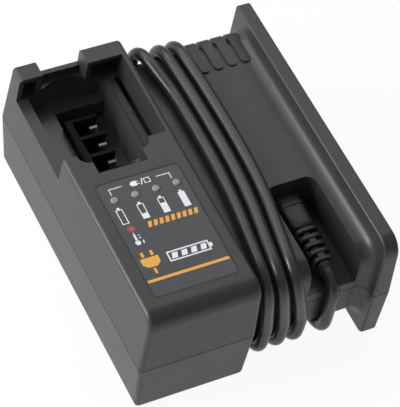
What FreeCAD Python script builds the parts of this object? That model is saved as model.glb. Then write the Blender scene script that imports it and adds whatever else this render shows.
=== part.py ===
"""Power tool battery charger: a reel shaped housing with a battery bay, a control face and a wound lead.

The tall block on the left holds the battery bay and the control face. A lower bridge joins it to a thin
flange on the right, and the supply lead is wound round the bridge. X runs from the block to the flange,
Y from the front to the back and Z up. The origin is the middle of the footprint on the table.
"""
import FreeCAD, Part
import math
import os
import re

from FreeCAD import Placement, Rotation, Vector

doc = FreeCAD.newDocument("battery_charger")

# Driving sizes in millimetres and degrees: alias, value, what it is. Distances that say "from the side",
# "from the front" or "from the back" start at the housing's left side and at its ends, on the joint line.
SIZES = (
    ("width", 130.0, "whole housing across, at the joint line"),
    ("length", 160.0, "whole housing front to back, at the joint line"),
    ("height", 69.0, "table to the top of block and flange"),
    ("joint_height", 33.0, "table to the joint line between the shells"),
    ("foot_drop", 1.0, "how far the rubber feet stand below the shell"),
    ("skin", 2.4, "moulded wall thickness"),
    ("seam_gap", 0.4, "shadow gap along the joint line"),
    ("seam_depth", 0.9, "depth of the shadow gap"),
    ("draft_top", 1.9, "how far the walls lean in above the joint line"),
    ("draft_base", 2.4, "how far the walls lean in below the joint line"),
    ("front_lean", 0.8, "how far the front leans in below the joint line"),
    ("tail_lean", 0.6, "how far the flange's back end leans in above the joint line"),
    ("inner_draft", 1.0, "lean of the walls that face the bridge"),
    ("block_width", 59.0, "tall block, at the joint line"),
    ("flange_width", 9.0, "flange thickness at the joint line"),
    ("bridge_top", 58.0, "table to the top of the bridge"),
    ("bridge_base", 13.0, "table to the underside of the bridge"),
    ("bridge_inset", 8.4, "bridge set back from the front"),
    ("bridge_tail", 7.2, "bridge set back from the back"),
    ("bridge_round", 9.0, "rounding of the bridge's long top edges"),
    ("keel_round", 5.0, "rounding of the bridge's long bottom edges"),
    ("cove_round", 6.0, "hollow fillet between bridge and flange"),
    ("front_round", 8.0, "front top edge of the block"),
    ("edge_round", 2.2, "other top edges and upright corners of the block"),
    ("nose_round", 9.0, "front top corner of the flange"),
    ("tail_round", 1.8, "back top corner of the flange"),
    ("flange_edge", 1.2, "long edges of the flange"),
    ("base_round", 3.2, "bottom edges of block and flange"),
    ("bay_front", 98.5, "back edge of the control face from the front"),
    ("bay_rear", 11.5, "front of the rear hoods from the back"),
    ("ledge_height", 55.0, "table to the ledges beside the battery"),
    ("rim_left", 54.8, "inner face of the bay's tall right rim from the side"),
    ("well_left", 7.0, "well's left edge from the side"),
    ("well_right", 48.3, "well's right edge from the side"),
    ("well_back", 8.5, "well's back edge from the back"),
    ("well_corner", 3.0, "upright corners of the well"),
    ("notch_left", 14.5, "left edge of the notch in the control face from the side"),
    ("notch_right", 39.6, "right edge of the notch from the side"),
    ("notch_front", 86.0, "front edge of the notch from the front"),
    ("notch_ear", 5.6, "rounded hollows where the notch meets the control face's back edge"),
    ("channel_left", 51.4, "left edge of the channel beside the well from the side"),
    ("channel_floor", 49.0, "table to the channel's floor"),
    ("channel_end", 1.6, "channel short of the bay's front"),
    ("channel_round", 1.2, "upright corners of the channel"),
    ("deep_left", 21.4, "left edge of the deep well from the side"),
    ("deep_back", 14.0, "back edge of the deep well from the back"),
    ("well_floor", 28.0, "table to the bottom of the deep well"),
    ("low_ledge", 40.0, "table to the shelves in the well"),
    ("scoop_x", 27.5, "middle of the scooped back wall from the side"),
    ("scoop_radius", 21.0, "scoop in the back wall, in plan"),
    ("scoop_depth", 3.0, "scoop behind the well's back edge"),
    ("cradle_skin", 1.8, "cradle wall"),
    ("hood_left", 13.7, "right end of the left hood from the side"),
    ("hood_right", 37.0, "left end of the right hood from the side"),
    ("hood_skin", 2.6, "hood roof"),
    ("back_sill", 59.5, "table to the sill between the hoods"),
    ("terminal_left", 21.8, "terminal block from the side"),
    ("terminal_width", 16.2, "terminal block across"),
    ("terminal_front", 90.2, "terminal block from the front"),
    ("terminal_pitch", 11.1, "spacing of the contact chambers"),
    ("terminal_count", 4.0, "number of contact chambers"),
    ("terminal_wall", 1.8, "partition between chambers"),
    ("terminal_top", 45.0, "table to the top of the terminal block"),
    ("chamber_floor", 34.0, "table to the bottom of a chamber"),
    ("chamber_left", 3.4, "terminal block's left wall"),
    ("leaf_width", 4.0, "contact leaf across"),
    ("leaf_gauge", 0.5, "contact leaf thickness"),
    ("leaf_root", 36.0, "table to the root of a leaf"),
    ("leaf_reach", 6.0, "root of a leaf to its crest"),
    ("leaf_crest", 42.3, "table to the crest of a leaf"),
    ("leaf_tip", 2.2, "crest of a leaf to its tip"),
    ("leaf_gap", 0.3, "clearance at the root of a leaf"),
    ("panel_left", 8.9, "control overlay from the side"),
    ("panel_width", 42.6, "control overlay across"),
    ("panel_front", 13.5, "control overlay from the front"),
    ("panel_length", 66.4, "control overlay front to back"),
    ("panel_gauge", 0.6, "control overlay thickness"),
    ("panel_round", 3.0, "control overlay corners"),
    ("fit_gap", 0.15, "clearance round pieces that drop in"),
    ("lamp_first", 14.9, "first status lens from the side"),
    ("lamp_pitch", 10.45, "spacing of the status lenses"),
    ("lamp_front", 69.4, "status lenses from the front"),
    ("lamp_radius", 1.9, "status lens"),
    ("lamp_collar", 2.7, "collar that holds a lens under the shell"),
    ("lamp_rise", 0.5, "status lens above the overlay"),
    ("recess_left", 88.8, "lead bay's left wall from the side"),
    ("recess_right", 114.4, "lead bay's right wall from the side"),
    ("recess_back", 59.2, "lead bay's back wall from the front"),
    ("recess_floor", 38.4, "table to the lead bay's floor"),
    ("recess_round", 5.0, "upright corners of the lead bay"),
    ("rib_first", 94.0, "first grip rib from the side"),
    ("rib_pitch", 7.4, "spacing of the grip ribs"),
    ("rib_count", 4.0, "number of grip ribs"),
    ("rib_width", 5.2, "grip rib across"),
    ("rib_rise", 0.9, "grip rib above the bridge"),
    ("rib_run", 9.0, "grip rib along the bridge's flat top"),
    ("rib_drop", 6.0, "grip rib below the rounded edge"),
    ("rib_round", 5.0, "rounding of a grip rib over the bridge's edge"),
    ("plug_x", 101.5, "supply plug from the side"),
    ("plug_height", 45.0, "table to the supply plug's axis"),
    ("plug_width", 13.5, "plug grip across"),
    ("plug_thick", 9.5, "plug grip high"),
    ("plug_length", 19.0, "plug grip along the lead"),
    ("plug_round", 2.2, "rounding of the plug grip"),
    ("ridge_width", 1.6, "grip ridge along the lead"),
    ("ridge_rise", 0.4, "grip ridge above the grip"),
    ("relief_length", 24.3, "plug strain relief"),
    ("relief_count", 5.0, "rings on the strain relief"),
    ("relief_ring", 2.4, "ring along the lead"),
    ("relief_root", 5.8, "first ring"),
    ("relief_tip", 5.2, "last ring"),
    ("lead_drift", 0.4, "how far the relief bends towards the winding"),
    ("barrel_radius", 2.75, "plug barrel"),
    ("barrel_bore", 1.3, "plug barrel's bore"),
    ("barrel_length", 9.5, "plug barrel"),
    ("pin_radius", 1.1, "socket pin"),
    ("barrel_gap", 0.1, "running clearance of barrel and pin"),
    ("neck_radius", 5.6, "socket neck through the wall"),
    ("neck_stand", 1.4, "socket neck standing out of the wall"),
    ("socket_side", 13.4, "socket body across and high"),
    ("socket_depth", 14.0, "socket body behind the wall"),
    ("lead_radius", 3.1, "supply lead"),
    ("lead_slack", 0.3, "lead clear of the bridge"),
    ("exit_round", 7.0, "bend where the lead drops out of the bay"),
    ("turn_count", 3.0, "passes of the lead over the top"),
    ("turn_first", 85.8, "first pass at the back edge from the side"),
    ("turn_pitch", 7.95, "spacing of the passes at the back edge"),
    ("front_pitch", 7.2, "spacing of the passes at the front top edge"),
    ("low_first", 85.2, "first pass at the front bottom edge from the side"),
    ("low_pitch", 9.25, "spacing of the passes at the front bottom edge"),
    ("end_radius", 5.0, "far connector"),
    ("end_length", 18.0, "far connector's grip"),
    ("end_relief", 8.0, "far connector's strain relief"),
    ("end_barrel", 7.0, "far connector's metal barrel"),
    ("board_left", 6.0, "circuit board from the side"),
    ("board_width", 98.0, "circuit board across"),
    ("board_front", 21.0, "circuit board from the front"),
    ("board_back", 21.0, "circuit board from the back"),
    ("board_gauge", 1.6, "circuit board thickness"),
    ("board_height", 19.0, "table to the circuit board's underside"),
    ("post_radius", 3.6, "screw post"),
    ("screw_radius", 1.4, "screw shank"),
    ("screw_head", 2.7, "screw head"),
    ("head_height", 2.0, "screw head height"),
    ("screw_bite", 10.0, "screw in the upper post"),
    ("hole_gap", 0.05, "clearance of a screw in its post"),
    ("foot_radius", 4.5, "rubber foot"),
    ("foot_seat", 1.2, "depth of the foot's seat"),
    ("plate_width", 36.0, "rating plate across"),
    ("plate_length", 58.0, "rating plate front to back"),
    ("plate_gauge", 0.5, "rating plate thickness"),
)

sheet = doc.addObject("Spreadsheet::Sheet", "Sizes")
for row, (alias, value, note) in enumerate(SIZES, 1):
    sheet.set(f"A{row}", note)
    sheet.set(f"B{row}", str(value))
    sheet.setAlias(f"B{row}", alias)
doc.recompute()
ALIASES = {alias for alias, _, _ in SIZES}
WORD = r"[a-z][a-z_]*[a-z]"

# Faces and lines that many pieces share, as sums of the driving sizes.
LEFT = "(-width/2)"
RIGHT = "(width/2)"
FRONT = "(-length/2)"
BACK = "(length/2)"
BLOCK_RIGHT = "(block_width-width/2)"
FLANGE_LEFT = "(width/2-flange_width)"
BRIDGE_FRONT = "(bridge_inset-length/2)"
BRIDGE_BACK = "(length/2-bridge_tail)"
CRADLE_TOP = "(ledge_height-skin)"
SHELL_BASE = "(foot_drop)"
BEYOND = 6
LEAST_ROUND = 0.5


def side(alias):
    """X of a distance from the housing's left side."""
    return f"({alias}-width/2)"


def along(alias):
    """Y of a distance from the housing's front end."""
    return f"({alias}-length/2)"


def inward(alias):
    """Y of a distance from the housing's back end."""
    return f"(length/2-{alias})"


def bound(text):
    """The expression with each size named as a cell of the sheet."""
    return re.sub(WORD, lambda word: "Sizes." + word.group() if word.group() in ALIASES else word.group(),
                  str(text))


workings = doc.addObject("Spreadsheet::Sheet", "Workings")
known = {}


def num(text):
    """The value of an expression, worked out once in a cell of the sheet for workings."""
    if text not in known:
        workings.set("A1", "=" + bound(text))
        workings.recompute()
        known[text] = float(workings.get("A1"))
    return known[text]


def bind(thing, **expressions):
    for name, text in expressions.items():
        thing.setExpression(name, bound(text))


def place(thing, x, y, z):
    thing.setExpression("Placement.Base.x", bound(x))
    thing.setExpression("Placement.Base.y", bound(y))
    thing.setExpression("Placement.Base.z", bound(z))
    return thing


def box(name, x0, x1, y0, y1, z0, z1):
    made = doc.addObject("Part::Box", name)
    bind(made, Length=f"({x1})-({x0})", Width=f"({y1})-({y0})", Height=f"({z1})-({z0})")
    return place(made, x0, y0, z0)


def tapered(name, low, high, z0, z1):
    """A block whose four sides lean: low and high are (x0, x1, y0, y1) at z0 and z1."""
    made = doc.addObject("Part::Wedge", name)
    made.Placement = Placement(Vector(), Rotation(Vector(1, 0, 0), 90))
    bind(made, Xmin=low[0], Xmax=low[1], Zmin=f"-({low[3]})", Zmax=f"-({low[2]})", Ymin=z0, Ymax=z1,
         X2min=high[0], X2max=high[1], Z2min=f"-({high[3]})", Z2max=f"-({high[2]})")
    return made


def post(name, x, y, z0, z1, radius):
    """An upright cylinder."""
    made = doc.addObject("Part::Cylinder", name)
    bind(made, Radius=radius, Height=f"({z1})-({z0})")
    return place(made, x, y, z0)


def rod(name, x, y0, y1, z, radius):
    """A cylinder that lies along Y."""
    made = doc.addObject("Part::Cylinder", name)
    made.Placement = Placement(Vector(), Rotation(Vector(1, 0, 0), -90))
    bind(made, Radius=radius, Height=f"({y1})-({y0})")
    return place(made, x, y0, z)


def joined(name, parts):
    made = doc.addObject("Part::MultiFuse", name)
    made.Shapes = parts
    return made


def cut(name, base, tools):
    """base without the tools, one after another joined into one tool."""
    made = doc.addObject("Part::Cut", name)
    made.Base = base
    made.Tool = tools[0] if len(tools) == 1 else joined(name + "_tools", tools)
    return made


def common(name, base, tool):
    made = doc.addObject("Part::Common", name)
    made.Base = base
    made.Tool = tool
    return made


def rounded(name, base, choices, inset="0"):
    """base with edges rounded: choices are (radius, test), and the first test that an edge passes counts.

    Inside a wall the radii shrink by the inset, and an edge stays sharp where nothing is left of it.
    """
    doc.recompute()
    picked = []
    for number, edge in enumerate(base.Shape.Edges, 1):
        for radius, test in choices:
            if test(edge):
                size = num(f"{radius}-{inset}")
                if size > LEAST_ROUND:
                    picked.append((number, size, size))
                break
    if not picked:
        return base
    made = doc.addObject("Part::Fillet", name)
    made.Base = base
    made.Edges = picked
    return made


def computed(name, shape):
    """A piece that no stock feature makes, with the shape worked out from the sheet."""
    made = doc.addObject("Part::Feature", name)
    made.Shape = shape
    return made


nodes = []


def node(thing, label):
    """Marks thing as a finished piece whose file is named label."""
    thing.Label = label
    nodes.append(thing)
    return thing


def middle(edge):
    return edge.valueAt((edge.FirstParameter + edge.LastParameter) / 2)


def runs(edge, axis):
    """True for an edge that runs mainly along that axis."""
    if len(edge.Vertexes) < 2:
        return False
    way = edge.Vertexes[-1].Point - edge.Vertexes[0].Point
    return way.Length > 0 and abs(way[axis]) > 0.9 * way.Length


def near(a, b, within=0.05):
    return abs(a - b) < within


# The outside of the housing, and the same form one wall further in.
def form_block(half, inset):
    """One half of the tall block, above or below the joint line."""
    lean, front = ("draft_top", "draft_top") if half == "upper" else ("draft_base", "front_lean")
    waist = (f"{LEFT}+{inset}", f"{BLOCK_RIGHT}-{inset}", f"{FRONT}+{inset}", f"{BACK}-{inset}")
    far = (f"{LEFT}+{inset}+{lean}", f"{BLOCK_RIGHT}-{inset}-inner_draft",
           f"{FRONT}+{inset}+{front}", f"{BACK}-{inset}-{lean}")
    name = f"block_{half}_{inset}"
    if half == "upper":
        top, base = num(f"height-{inset}"), num("joint_height")
        plain = tapered(name, waist, far, "joint_height", f"height-{inset}")
        nosed = rounded(name + "_nosed", plain, (
            ("front_round", lambda e: runs(e, 0) and near(middle(e).z, top) and middle(e).y < 0),), inset)
        return rounded(name + "_soft", nosed, (
            ("edge_round", lambda e: not near(middle(e).z, base) and not (runs(e, 0) and middle(e).y < 0)),
        ), inset)
    base = num(f"{SHELL_BASE}+{inset}")
    plain = tapered(name, far, waist, f"{SHELL_BASE}+{inset}", "joint_height")
    upright = rounded(name + "_upright", plain, (("edge_round", lambda e: runs(e, 2)),), inset)
    return rounded(name + "_soft", upright, (("base_round", lambda e: near(middle(e).z, base)),), inset)


def form_flange(half, inset):
    """One half of the flange, with a well rounded nose at the front."""
    lean, front = ("tail_lean", "draft_top") if half == "upper" else ("draft_base", "front_lean")
    waist = (f"{FLANGE_LEFT}+{inset}", f"{RIGHT}-{inset}", f"{FRONT}+{inset}", f"{BACK}-{inset}")
    far = (f"{FLANGE_LEFT}+{inset}+inner_draft/2", f"{RIGHT}-{inset}-{front}/2",
           f"{FRONT}+{inset}+{front}", f"{BACK}-{inset}-{lean}")
    name = f"flange_{half}_{inset}"
    if half == "upper":
        top = num(f"height-{inset}")
        plain = tapered(name, waist, far, "joint_height", f"height-{inset}")
        nosed = rounded(name + "_nosed", plain, (
            ("nose_round", lambda e: runs(e, 0) and near(middle(e).z, top) and middle(e).y < 0),
            ("tail_round", lambda e: runs(e, 0) and near(middle(e).z, top)),
        ), inset)
    else:
        base = num(f"{SHELL_BASE}+{inset}")
        plain = tapered(name, far, waist, f"{SHELL_BASE}+{inset}", "joint_height")
        nosed = rounded(name + "_nosed", plain, (
            ("base_round", lambda e: runs(e, 0) and near(middle(e).z, base)),), inset)
    joint = num("joint_height")
    return rounded(name + "_soft", nosed, (
        ("flange_edge", lambda e: not runs(e, 0) and not near(middle(e).z, joint)),), inset)


def form_bridge(half, inset):
    """One half of the low bridge between block and flange."""
    ends = (f"{BLOCK_RIGHT}-skin-inner_draft", f"{FLANGE_LEFT}+skin+inner_draft",
            f"{BRIDGE_FRONT}+{inset}", f"{BRIDGE_BACK}-{inset}")
    if half == "upper":
        plain = box(f"bridge_upper_{inset}", *ends, "joint_height", f"bridge_top-{inset}")
        edge, level = "bridge_round", num(f"bridge_top-{inset}")
    else:
        plain = box(f"bridge_lower_{inset}", *ends, f"bridge_base+{inset}", "joint_height")
        edge, level = "keel_round", num(f"bridge_base+{inset}")
    return rounded(plain.Name + "_soft", plain, (
        (edge, lambda e: runs(e, 0) and near(middle(e).z, level)),), inset)


def form(half, inset):
    """Block, bridge and flange as one solid."""
    parts = [form_block(half, inset), form_flange(half, inset), form_bridge(half, inset)]
    return joined(f"form_{half}_{inset}", parts)


def coved(half, base):
    """The form with the hollow fillet where the bridge runs into the flange."""
    inner = num(FLANGE_LEFT)
    lean = num("inner_draft")
    joint = num("joint_height")

    def root(edge):
        at = middle(edge)
        beside = inner - 0.1 < at.x < inner + lean
        inward = num(f"{BRIDGE_FRONT}-0.1") < at.y < num(f"{BRIDGE_BACK}+0.1")
        level = num("bridge_base-0.1") < at.z < num("bridge_top+0.1")
        return beside and inward and level and not near(at.z, joint)

    return rounded(f"coved_{half}", base, (("cove_round", root),))


upper = coved("upper", form("upper", "0"))
lower = coved("lower", form("lower", "0"))
inner_upper = form("upper", "skin")
inner_lower = form("lower", "skin")


# The upper shell: bay, control face, lead bay, grip ribs and screw posts.
def bay_walls():
    """What stays solid of the block's inside round the battery bay."""
    rear = ("bay_rear", BACK, "ledge_height", "height")
    left_hood, right_hood = side("hood_left"), side("hood_right")
    notch = (f"{side('notch_left')}-skin", f"{side('notch_right')}+skin")
    return [
        box("ledge_plate", LEFT, BLOCK_RIGHT, f"{along('notch_front')}-skin", BACK, CRADLE_TOP, "ledge_height"),
        box("bay_wall", LEFT, BLOCK_RIGHT, f"{along('bay_front')}-skin", along("bay_front"),
            CRADLE_TOP, "height"),
        box("notch_wall", *notch, f"{along('notch_front')}-skin", along("bay_front"), CRADLE_TOP, "height"),
        box("left_hood_wall", f"{left_hood}-skin", left_hood, inward("bay_rear"), *rear[1:]),
        box("right_hood_wall", right_hood, f"{right_hood}+skin", inward("bay_rear"), *rear[1:]),
        box("right_rim", side("rim_left"), BLOCK_RIGHT, along("bay_front"), BACK, CRADLE_TOP, "height"),
        box("ear_wall", f"{notch[0]}-notch_ear", f"{notch[1]}+notch_ear", f"{along('bay_front')}-notch_ear-skin",
            along("bay_front"), CRADLE_TOP, "height"),
        box("channel_wall", f"{side('well_right')}+cradle_skin+fit_gap", BLOCK_RIGHT,
            f"{along('bay_front')}-skin", inward("bay_rear"), "channel_floor-skin", "ledge_height"),
    ]


def bay_voids():
    """The open space of the battery bay, with the notch, the hoods' hollows and the well's mouth."""
    hollow_back = f"{BACK}-skin-draft_top"
    left_hood, right_hood = side("hood_left"), side("hood_right")
    over = f"height+{BEYOND}"
    under_roof = "height-hood_skin"
    well = box("well_mouth", side("well_left"), side("well_right"), f"{along('bay_front')}-1",
               inward("well_back"), f"{CRADLE_TOP}-1", "ledge_height+1")
    channel = box("channel", side("channel_left"), side("rim_left"), f"{along('bay_front')}+channel_end",
                  f"{inward('bay_rear')}-channel_end", "channel_floor", "ledge_height+2")
    return [
        box("bay_space", f"{LEFT}-{BEYOND}", side("rim_left"), along("bay_front"), inward("bay_rear"),
            "ledge_height", over),
        box("hood_gap", left_hood, right_hood, f"{inward('bay_rear')}-1", f"{BACK}+{BEYOND}", "back_sill", over),
        box("hood_gap_hollow", left_hood, right_hood, f"{inward('bay_rear')}-1", hollow_back,
            "ledge_height", "back_sill+1"),
        box("left_hood_hollow", f"{LEFT}+draft_top+skin", f"{left_hood}-skin", f"{inward('bay_rear')}-1",
            hollow_back, "ledge_height", under_roof),
        box("right_hood_hollow", f"{right_hood}+skin", side("rim_left"), f"{inward('bay_rear')}-1",
            hollow_back, "ledge_height", under_roof),
        rounded("well_mouth_soft", well, (
            ("well_corner", lambda e: runs(e, 2) and middle(e).y > 0),)),
        scoop("well_mouth_scoop", f"{CRADLE_TOP}-1", "ledge_height+1"),
        box("notch", side("notch_left"), side("notch_right"), along("notch_front"),
            f"{along('bay_front')}+1", f"{CRADLE_TOP}-1", over),
        post("notch_ear_left", side("notch_left"), along("bay_front"), "ledge_height", over, "notch_ear"),
        post("notch_ear_right", side("notch_right"), along("bay_front"), "ledge_height", over, "notch_ear"),
        rounded("channel_soft", channel, (("channel_round", lambda e: runs(e, 2)),)),
    ]


def scoop(name, z0, z1):
    """The shallow scoop in the well's back wall."""
    whole = post(name + "_round", side("scoop_x"), f"{inward('well_back')}+scoop_depth-scoop_radius",
                 z0, z1, "scoop_radius")
    behind = box(name + "_behind", side("well_left"), side("well_right"), f"{inward('well_back')}-1",
                 f"{inward('well_back')}+scoop_depth", z0, z1)
    return common(name, whole, behind)


def lead_bay():
    """Walls and space of the bay that takes the supply plug."""
    left, right, back = side("recess_left"), side("recess_right"), along("recess_back")
    walls = box("lead_bay_walls", f"{left}-skin", f"{right}+skin", BRIDGE_FRONT, f"{back}+skin",
                "recess_floor-skin", "bridge_top")
    space = box("lead_bay_space", left, right, f"{FRONT}-{BEYOND}", back, "recess_floor", f"bridge_top+{BEYOND}")
    soft = rounded("lead_bay_soft", space, (
        ("recess_round", lambda e: runs(e, 2) and middle(e).y > num(FRONT)),))
    neck_hole = rod("neck_hole", side("plug_x"), f"{back}-1", f"{back}+skin+1", "plug_height",
                    "neck_radius+fit_gap")
    return walls, [soft, neck_hole]


def grip_ribs():
    """Rounded ribs that wrap the bridge's back top edge."""
    skin_form = box("rib_skin_plain", side("rib_first") + "-rib_width", FLANGE_LEFT, "0",
                    f"{BRIDGE_BACK}+rib_rise", "joint_height", "bridge_top+rib_rise")
    skin_soft = rounded("rib_skin", skin_form, (
        ("rib_round", lambda e: runs(e, 0) and middle(e).z > num("bridge_top") and middle(e).y > 1),))
    start = f"{BRIDGE_BACK}-bridge_round-rib_run"
    foot = "bridge_top-bridge_round-rib_drop"
    bands = []
    for index in range(int(num("rib_count"))):
        x = f"({side('rib_first')}+{index}*rib_pitch)"
        bands.append(box(f"rib_band_{index}", f"{x}-rib_width/2", f"{x}+rib_width/2", start,
                         f"{BRIDGE_BACK}+rib_rise+1", foot, f"bridge_top+{BEYOND}"))
        bands.append(post(f"rib_end_{index}", x, start, "bridge_top-skin", f"bridge_top+{BEYOND}", "rib_width/2"))
    return common("grip_ribs", skin_soft, joined("rib_bands", bands))


SCREWS = (
    ("9", "12", SHELL_BASE), ("50", "12", SHELL_BASE), ("109", "92", "bridge_base"),
    ("66", "(length-16)", "bridge_base"), ("109", "(length-16)", "bridge_base"),
)


def screw_place(x, y):
    return f"({x}-width/2)", f"({y}-length/2)"


def upper_posts():
    """Screw posts that hang from the roof, and their pilot holes."""
    posts, holes = [], []
    for index, (x, y, base) in enumerate(SCREWS):
        x, y = screw_place(x, y)
        roof = "height-skin" if base == SHELL_BASE else "bridge_top-skin"
        posts.append(post(f"upper_post_{index}", x, y, "joint_height", roof, "post_radius"))
        holes.append(post(f"pilot_{index}", x, y, "joint_height-1", "joint_height+screw_bite+1",
                          "screw_radius+hole_gap"))
    return posts, holes


def lens_places():
    return [f"({side('lamp_first')}+{index}*lamp_pitch)" for index in range(4)]


def control_face():
    """The overlay's seat and the lens holes in the top of the block, and posts for the control board."""
    left, front = side("panel_left"), along("panel_front")
    seat = box("panel_seat", f"{left}-fit_gap", f"{left}+panel_width+fit_gap", f"{front}-fit_gap",
               f"{front}+panel_length+fit_gap", "height-panel_gauge-0.1", f"height+{BEYOND}")
    soft = rounded("panel_seat_soft", seat, (("(panel_round+fit_gap)", lambda e: runs(e, 2)),))
    holes = [post(f"lens_hole_{index}", x, along("lamp_front"), f"height-{BEYOND}", f"height+{BEYOND}",
                  "lamp_radius+fit_gap") for index, x in enumerate(lens_places())]
    return [soft] + holes


def seam():
    """The shadow gap: a ring round the outside, just above the joint line."""
    band = box("seam_band", f"{LEFT}-{BEYOND}", f"{RIGHT}+{BEYOND}", f"{FRONT}-{BEYOND}", f"{BACK}+{BEYOND}",
               "joint_height", "joint_height+seam_gap")
    core = joined("seam_core", [
        box("seam_block", f"{LEFT}+seam_depth", f"{BLOCK_RIGHT}-seam_depth", f"{FRONT}+seam_depth",
            f"{BACK}-seam_depth", "joint_height-1", "joint_height+2"),
        box("seam_bridge", f"{BLOCK_RIGHT}-skin", f"{FLANGE_LEFT}+skin", f"{BRIDGE_FRONT}+seam_depth",
            f"{BRIDGE_BACK}-seam_depth", "joint_height-1", "joint_height+2"),
        box("seam_flange", f"{FLANGE_LEFT}+seam_depth", f"{RIGHT}-seam_depth", f"{FRONT}+seam_depth",
            f"{BACK}-seam_depth", "joint_height-1", "joint_height+2"),
    ])
    return cut("seam", band, [core])


def upper_shell():
    bay_wall_list = bay_walls()
    recess_walls, recess_voids = lead_bay()
    posts, holes = upper_posts()
    cavity = cut("upper_cavity", inner_upper, bay_wall_list + [recess_walls] + posts)
    hollow = cut("upper_hollow", upper, [cavity])
    ribbed = joined("upper_ribbed", [hollow, grip_ribs()])
    return cut("upper_done", ribbed, bay_voids() + recess_voids + control_face() + holes + [seam()])


node(upper_shell(), "upper_shell")


# The lower shell: posts, board stands, screw seats, feet seats and the plate's seat.
STANDS = (("12", "30", SHELL_BASE), ("12", "(length-28)", SHELL_BASE), ("98", "30", "bridge_base"),
          ("98", "(length-28)", "bridge_base"))
BLOCK_FEET = (("11", "28"), ("48", "28"), ("11", "(length-28)"), ("48", "(length-28)"))
FLANGE_FEET = ("14", "(length-26)")


def lower_posts():
    """Screw posts from the floor to the joint line, with a seat for the head and a clear hole."""
    posts, holes = [], []
    for index, (x, y, base) in enumerate(SCREWS):
        x, y = screw_place(x, y)
        posts.append(post(f"lower_post_{index}", x, y, f"{base}+skin", "joint_height", "post_radius"))
        holes.append(post(f"head_seat_{index}", x, y, f"{base}-1", f"{base}+head_height+skin", "screw_head+0.2"))
        holes.append(post(f"clear_hole_{index}", x, y, f"{base}-1", "joint_height+1", "screw_radius+0.2"))
    return posts, holes


def stands():
    made = []
    for index, (x, y, base) in enumerate(STANDS):
        x, y = screw_place(x, y)
        made.append(post(f"stand_{index}", x, y, f"{base}+skin", "board_height", "post_radius"))
    return made


def feet_seats(name, shrink, z1):
    """Round seats under the block and long ones under the flange; shrink makes the feet from the same form."""
    made = []
    for index, (x, y) in enumerate(BLOCK_FEET):
        x, y = screw_place(x, y)
        made.append(post(f"{name}_round_{index}", x, y, "0", z1, f"foot_radius-{shrink}"))
    middle_x = "(width/2-flange_width/2)"
    for index, y in enumerate(FLANGE_FEET):
        start = f"({y}-length/2)"
        made.append(box(f"{name}_long_{index}", f"{middle_x}-1.6+{shrink}", f"{middle_x}+1.6-{shrink}",
                        f"{start}+{shrink}", f"{start}+12-{shrink}", "0", z1))
    return made


def plate(name, shrink, z0, z1):
    centre = f"({BLOCK_RIGHT}/2-width/4)"
    return box(name, f"{centre}-plate_width/2+{shrink}", f"{centre}+plate_width/2-{shrink}",
               f"-plate_length/2+{shrink}", f"plate_length/2-{shrink}", z0, z1)


def lower_shell():
    posts, holes = lower_posts()
    cavity = cut("lower_cavity", inner_lower, posts + stands())
    hollow = cut("lower_hollow", lower, [cavity])
    seats = feet_seats("seat", "0", f"{SHELL_BASE}+foot_seat")
    return cut("lower_done", hollow, holes + seats + [plate("plate_seat", "0", "0", f"{SHELL_BASE}+plate_gauge")])


node(lower_shell(), "lower_shell")


# The battery cradle: a tub below the opening, with a deep well and two shelves.
def cradle():
    wall = "cradle_skin"
    tub = joined("cradle_outside", [
        box("cradle_main", f"{side('well_left')}-{wall}", f"{side('well_right')}+{wall}",
            f"{along('bay_front')}-{wall}-2", f"{inward('well_back')}+scoop_depth+{wall}",
            f"well_floor-{wall}", CRADLE_TOP),
        box("cradle_front", f"{side('notch_left')}-{wall}", f"{side('notch_right')}+{wall}",
            f"{along('notch_front')}-{wall}", along("bay_front"), f"well_floor-{wall}", CRADLE_TOP),
    ])
    over = f"{CRADLE_TOP}+1"
    low_back = box("shelf_space", side("well_left"), side("well_right"), along("bay_front"),
                   inward("well_back"), "low_ledge", over)
    voids = [
        rounded("shelf_space_soft", low_back, (
            ("well_corner", lambda e: runs(e, 2) and middle(e).y > num("bay_front/2")),)),
        scoop("cradle_scoop", "low_ledge", over),
        box("deep_space", side("deep_left"), side("well_right"), along("bay_front"), inward("deep_back"),
            "well_floor", over),
        box("notch_space", side("notch_left"), side("notch_right"), along("notch_front"),
            f"{along('bay_front')}+1", "low_ledge", over),
        box("deep_notch", side("deep_left"), side("notch_right"), along("notch_front"),
            f"{along('bay_front')}+1", "well_floor", over),
    ]
    return cut("cradle_done", tub, voids)


node(cradle(), "battery_cradle")


# The terminal block on the well's floor, and one sprung leaf in each chamber.
def chamber_front(index):
    return f"({along('terminal_front')}+terminal_wall+{index}*terminal_pitch)"


def terminal_block():
    left, count = side("terminal_left"), int(num("terminal_count"))
    body = box("terminal_body", left, f"{left}+terminal_width", along("terminal_front"),
               f"{along('terminal_front')}+terminal_count*terminal_pitch+terminal_wall",
               "well_floor", "terminal_top")
    chambers = [box(f"chamber_{index}", f"{left}+chamber_left", f"{left}+terminal_width+1", chamber_front(index),
                    f"{chamber_front(index)}+terminal_pitch-terminal_wall", "chamber_floor", "terminal_top+1")
                for index in range(count)]
    return cut("terminal_done", body, chambers)


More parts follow.
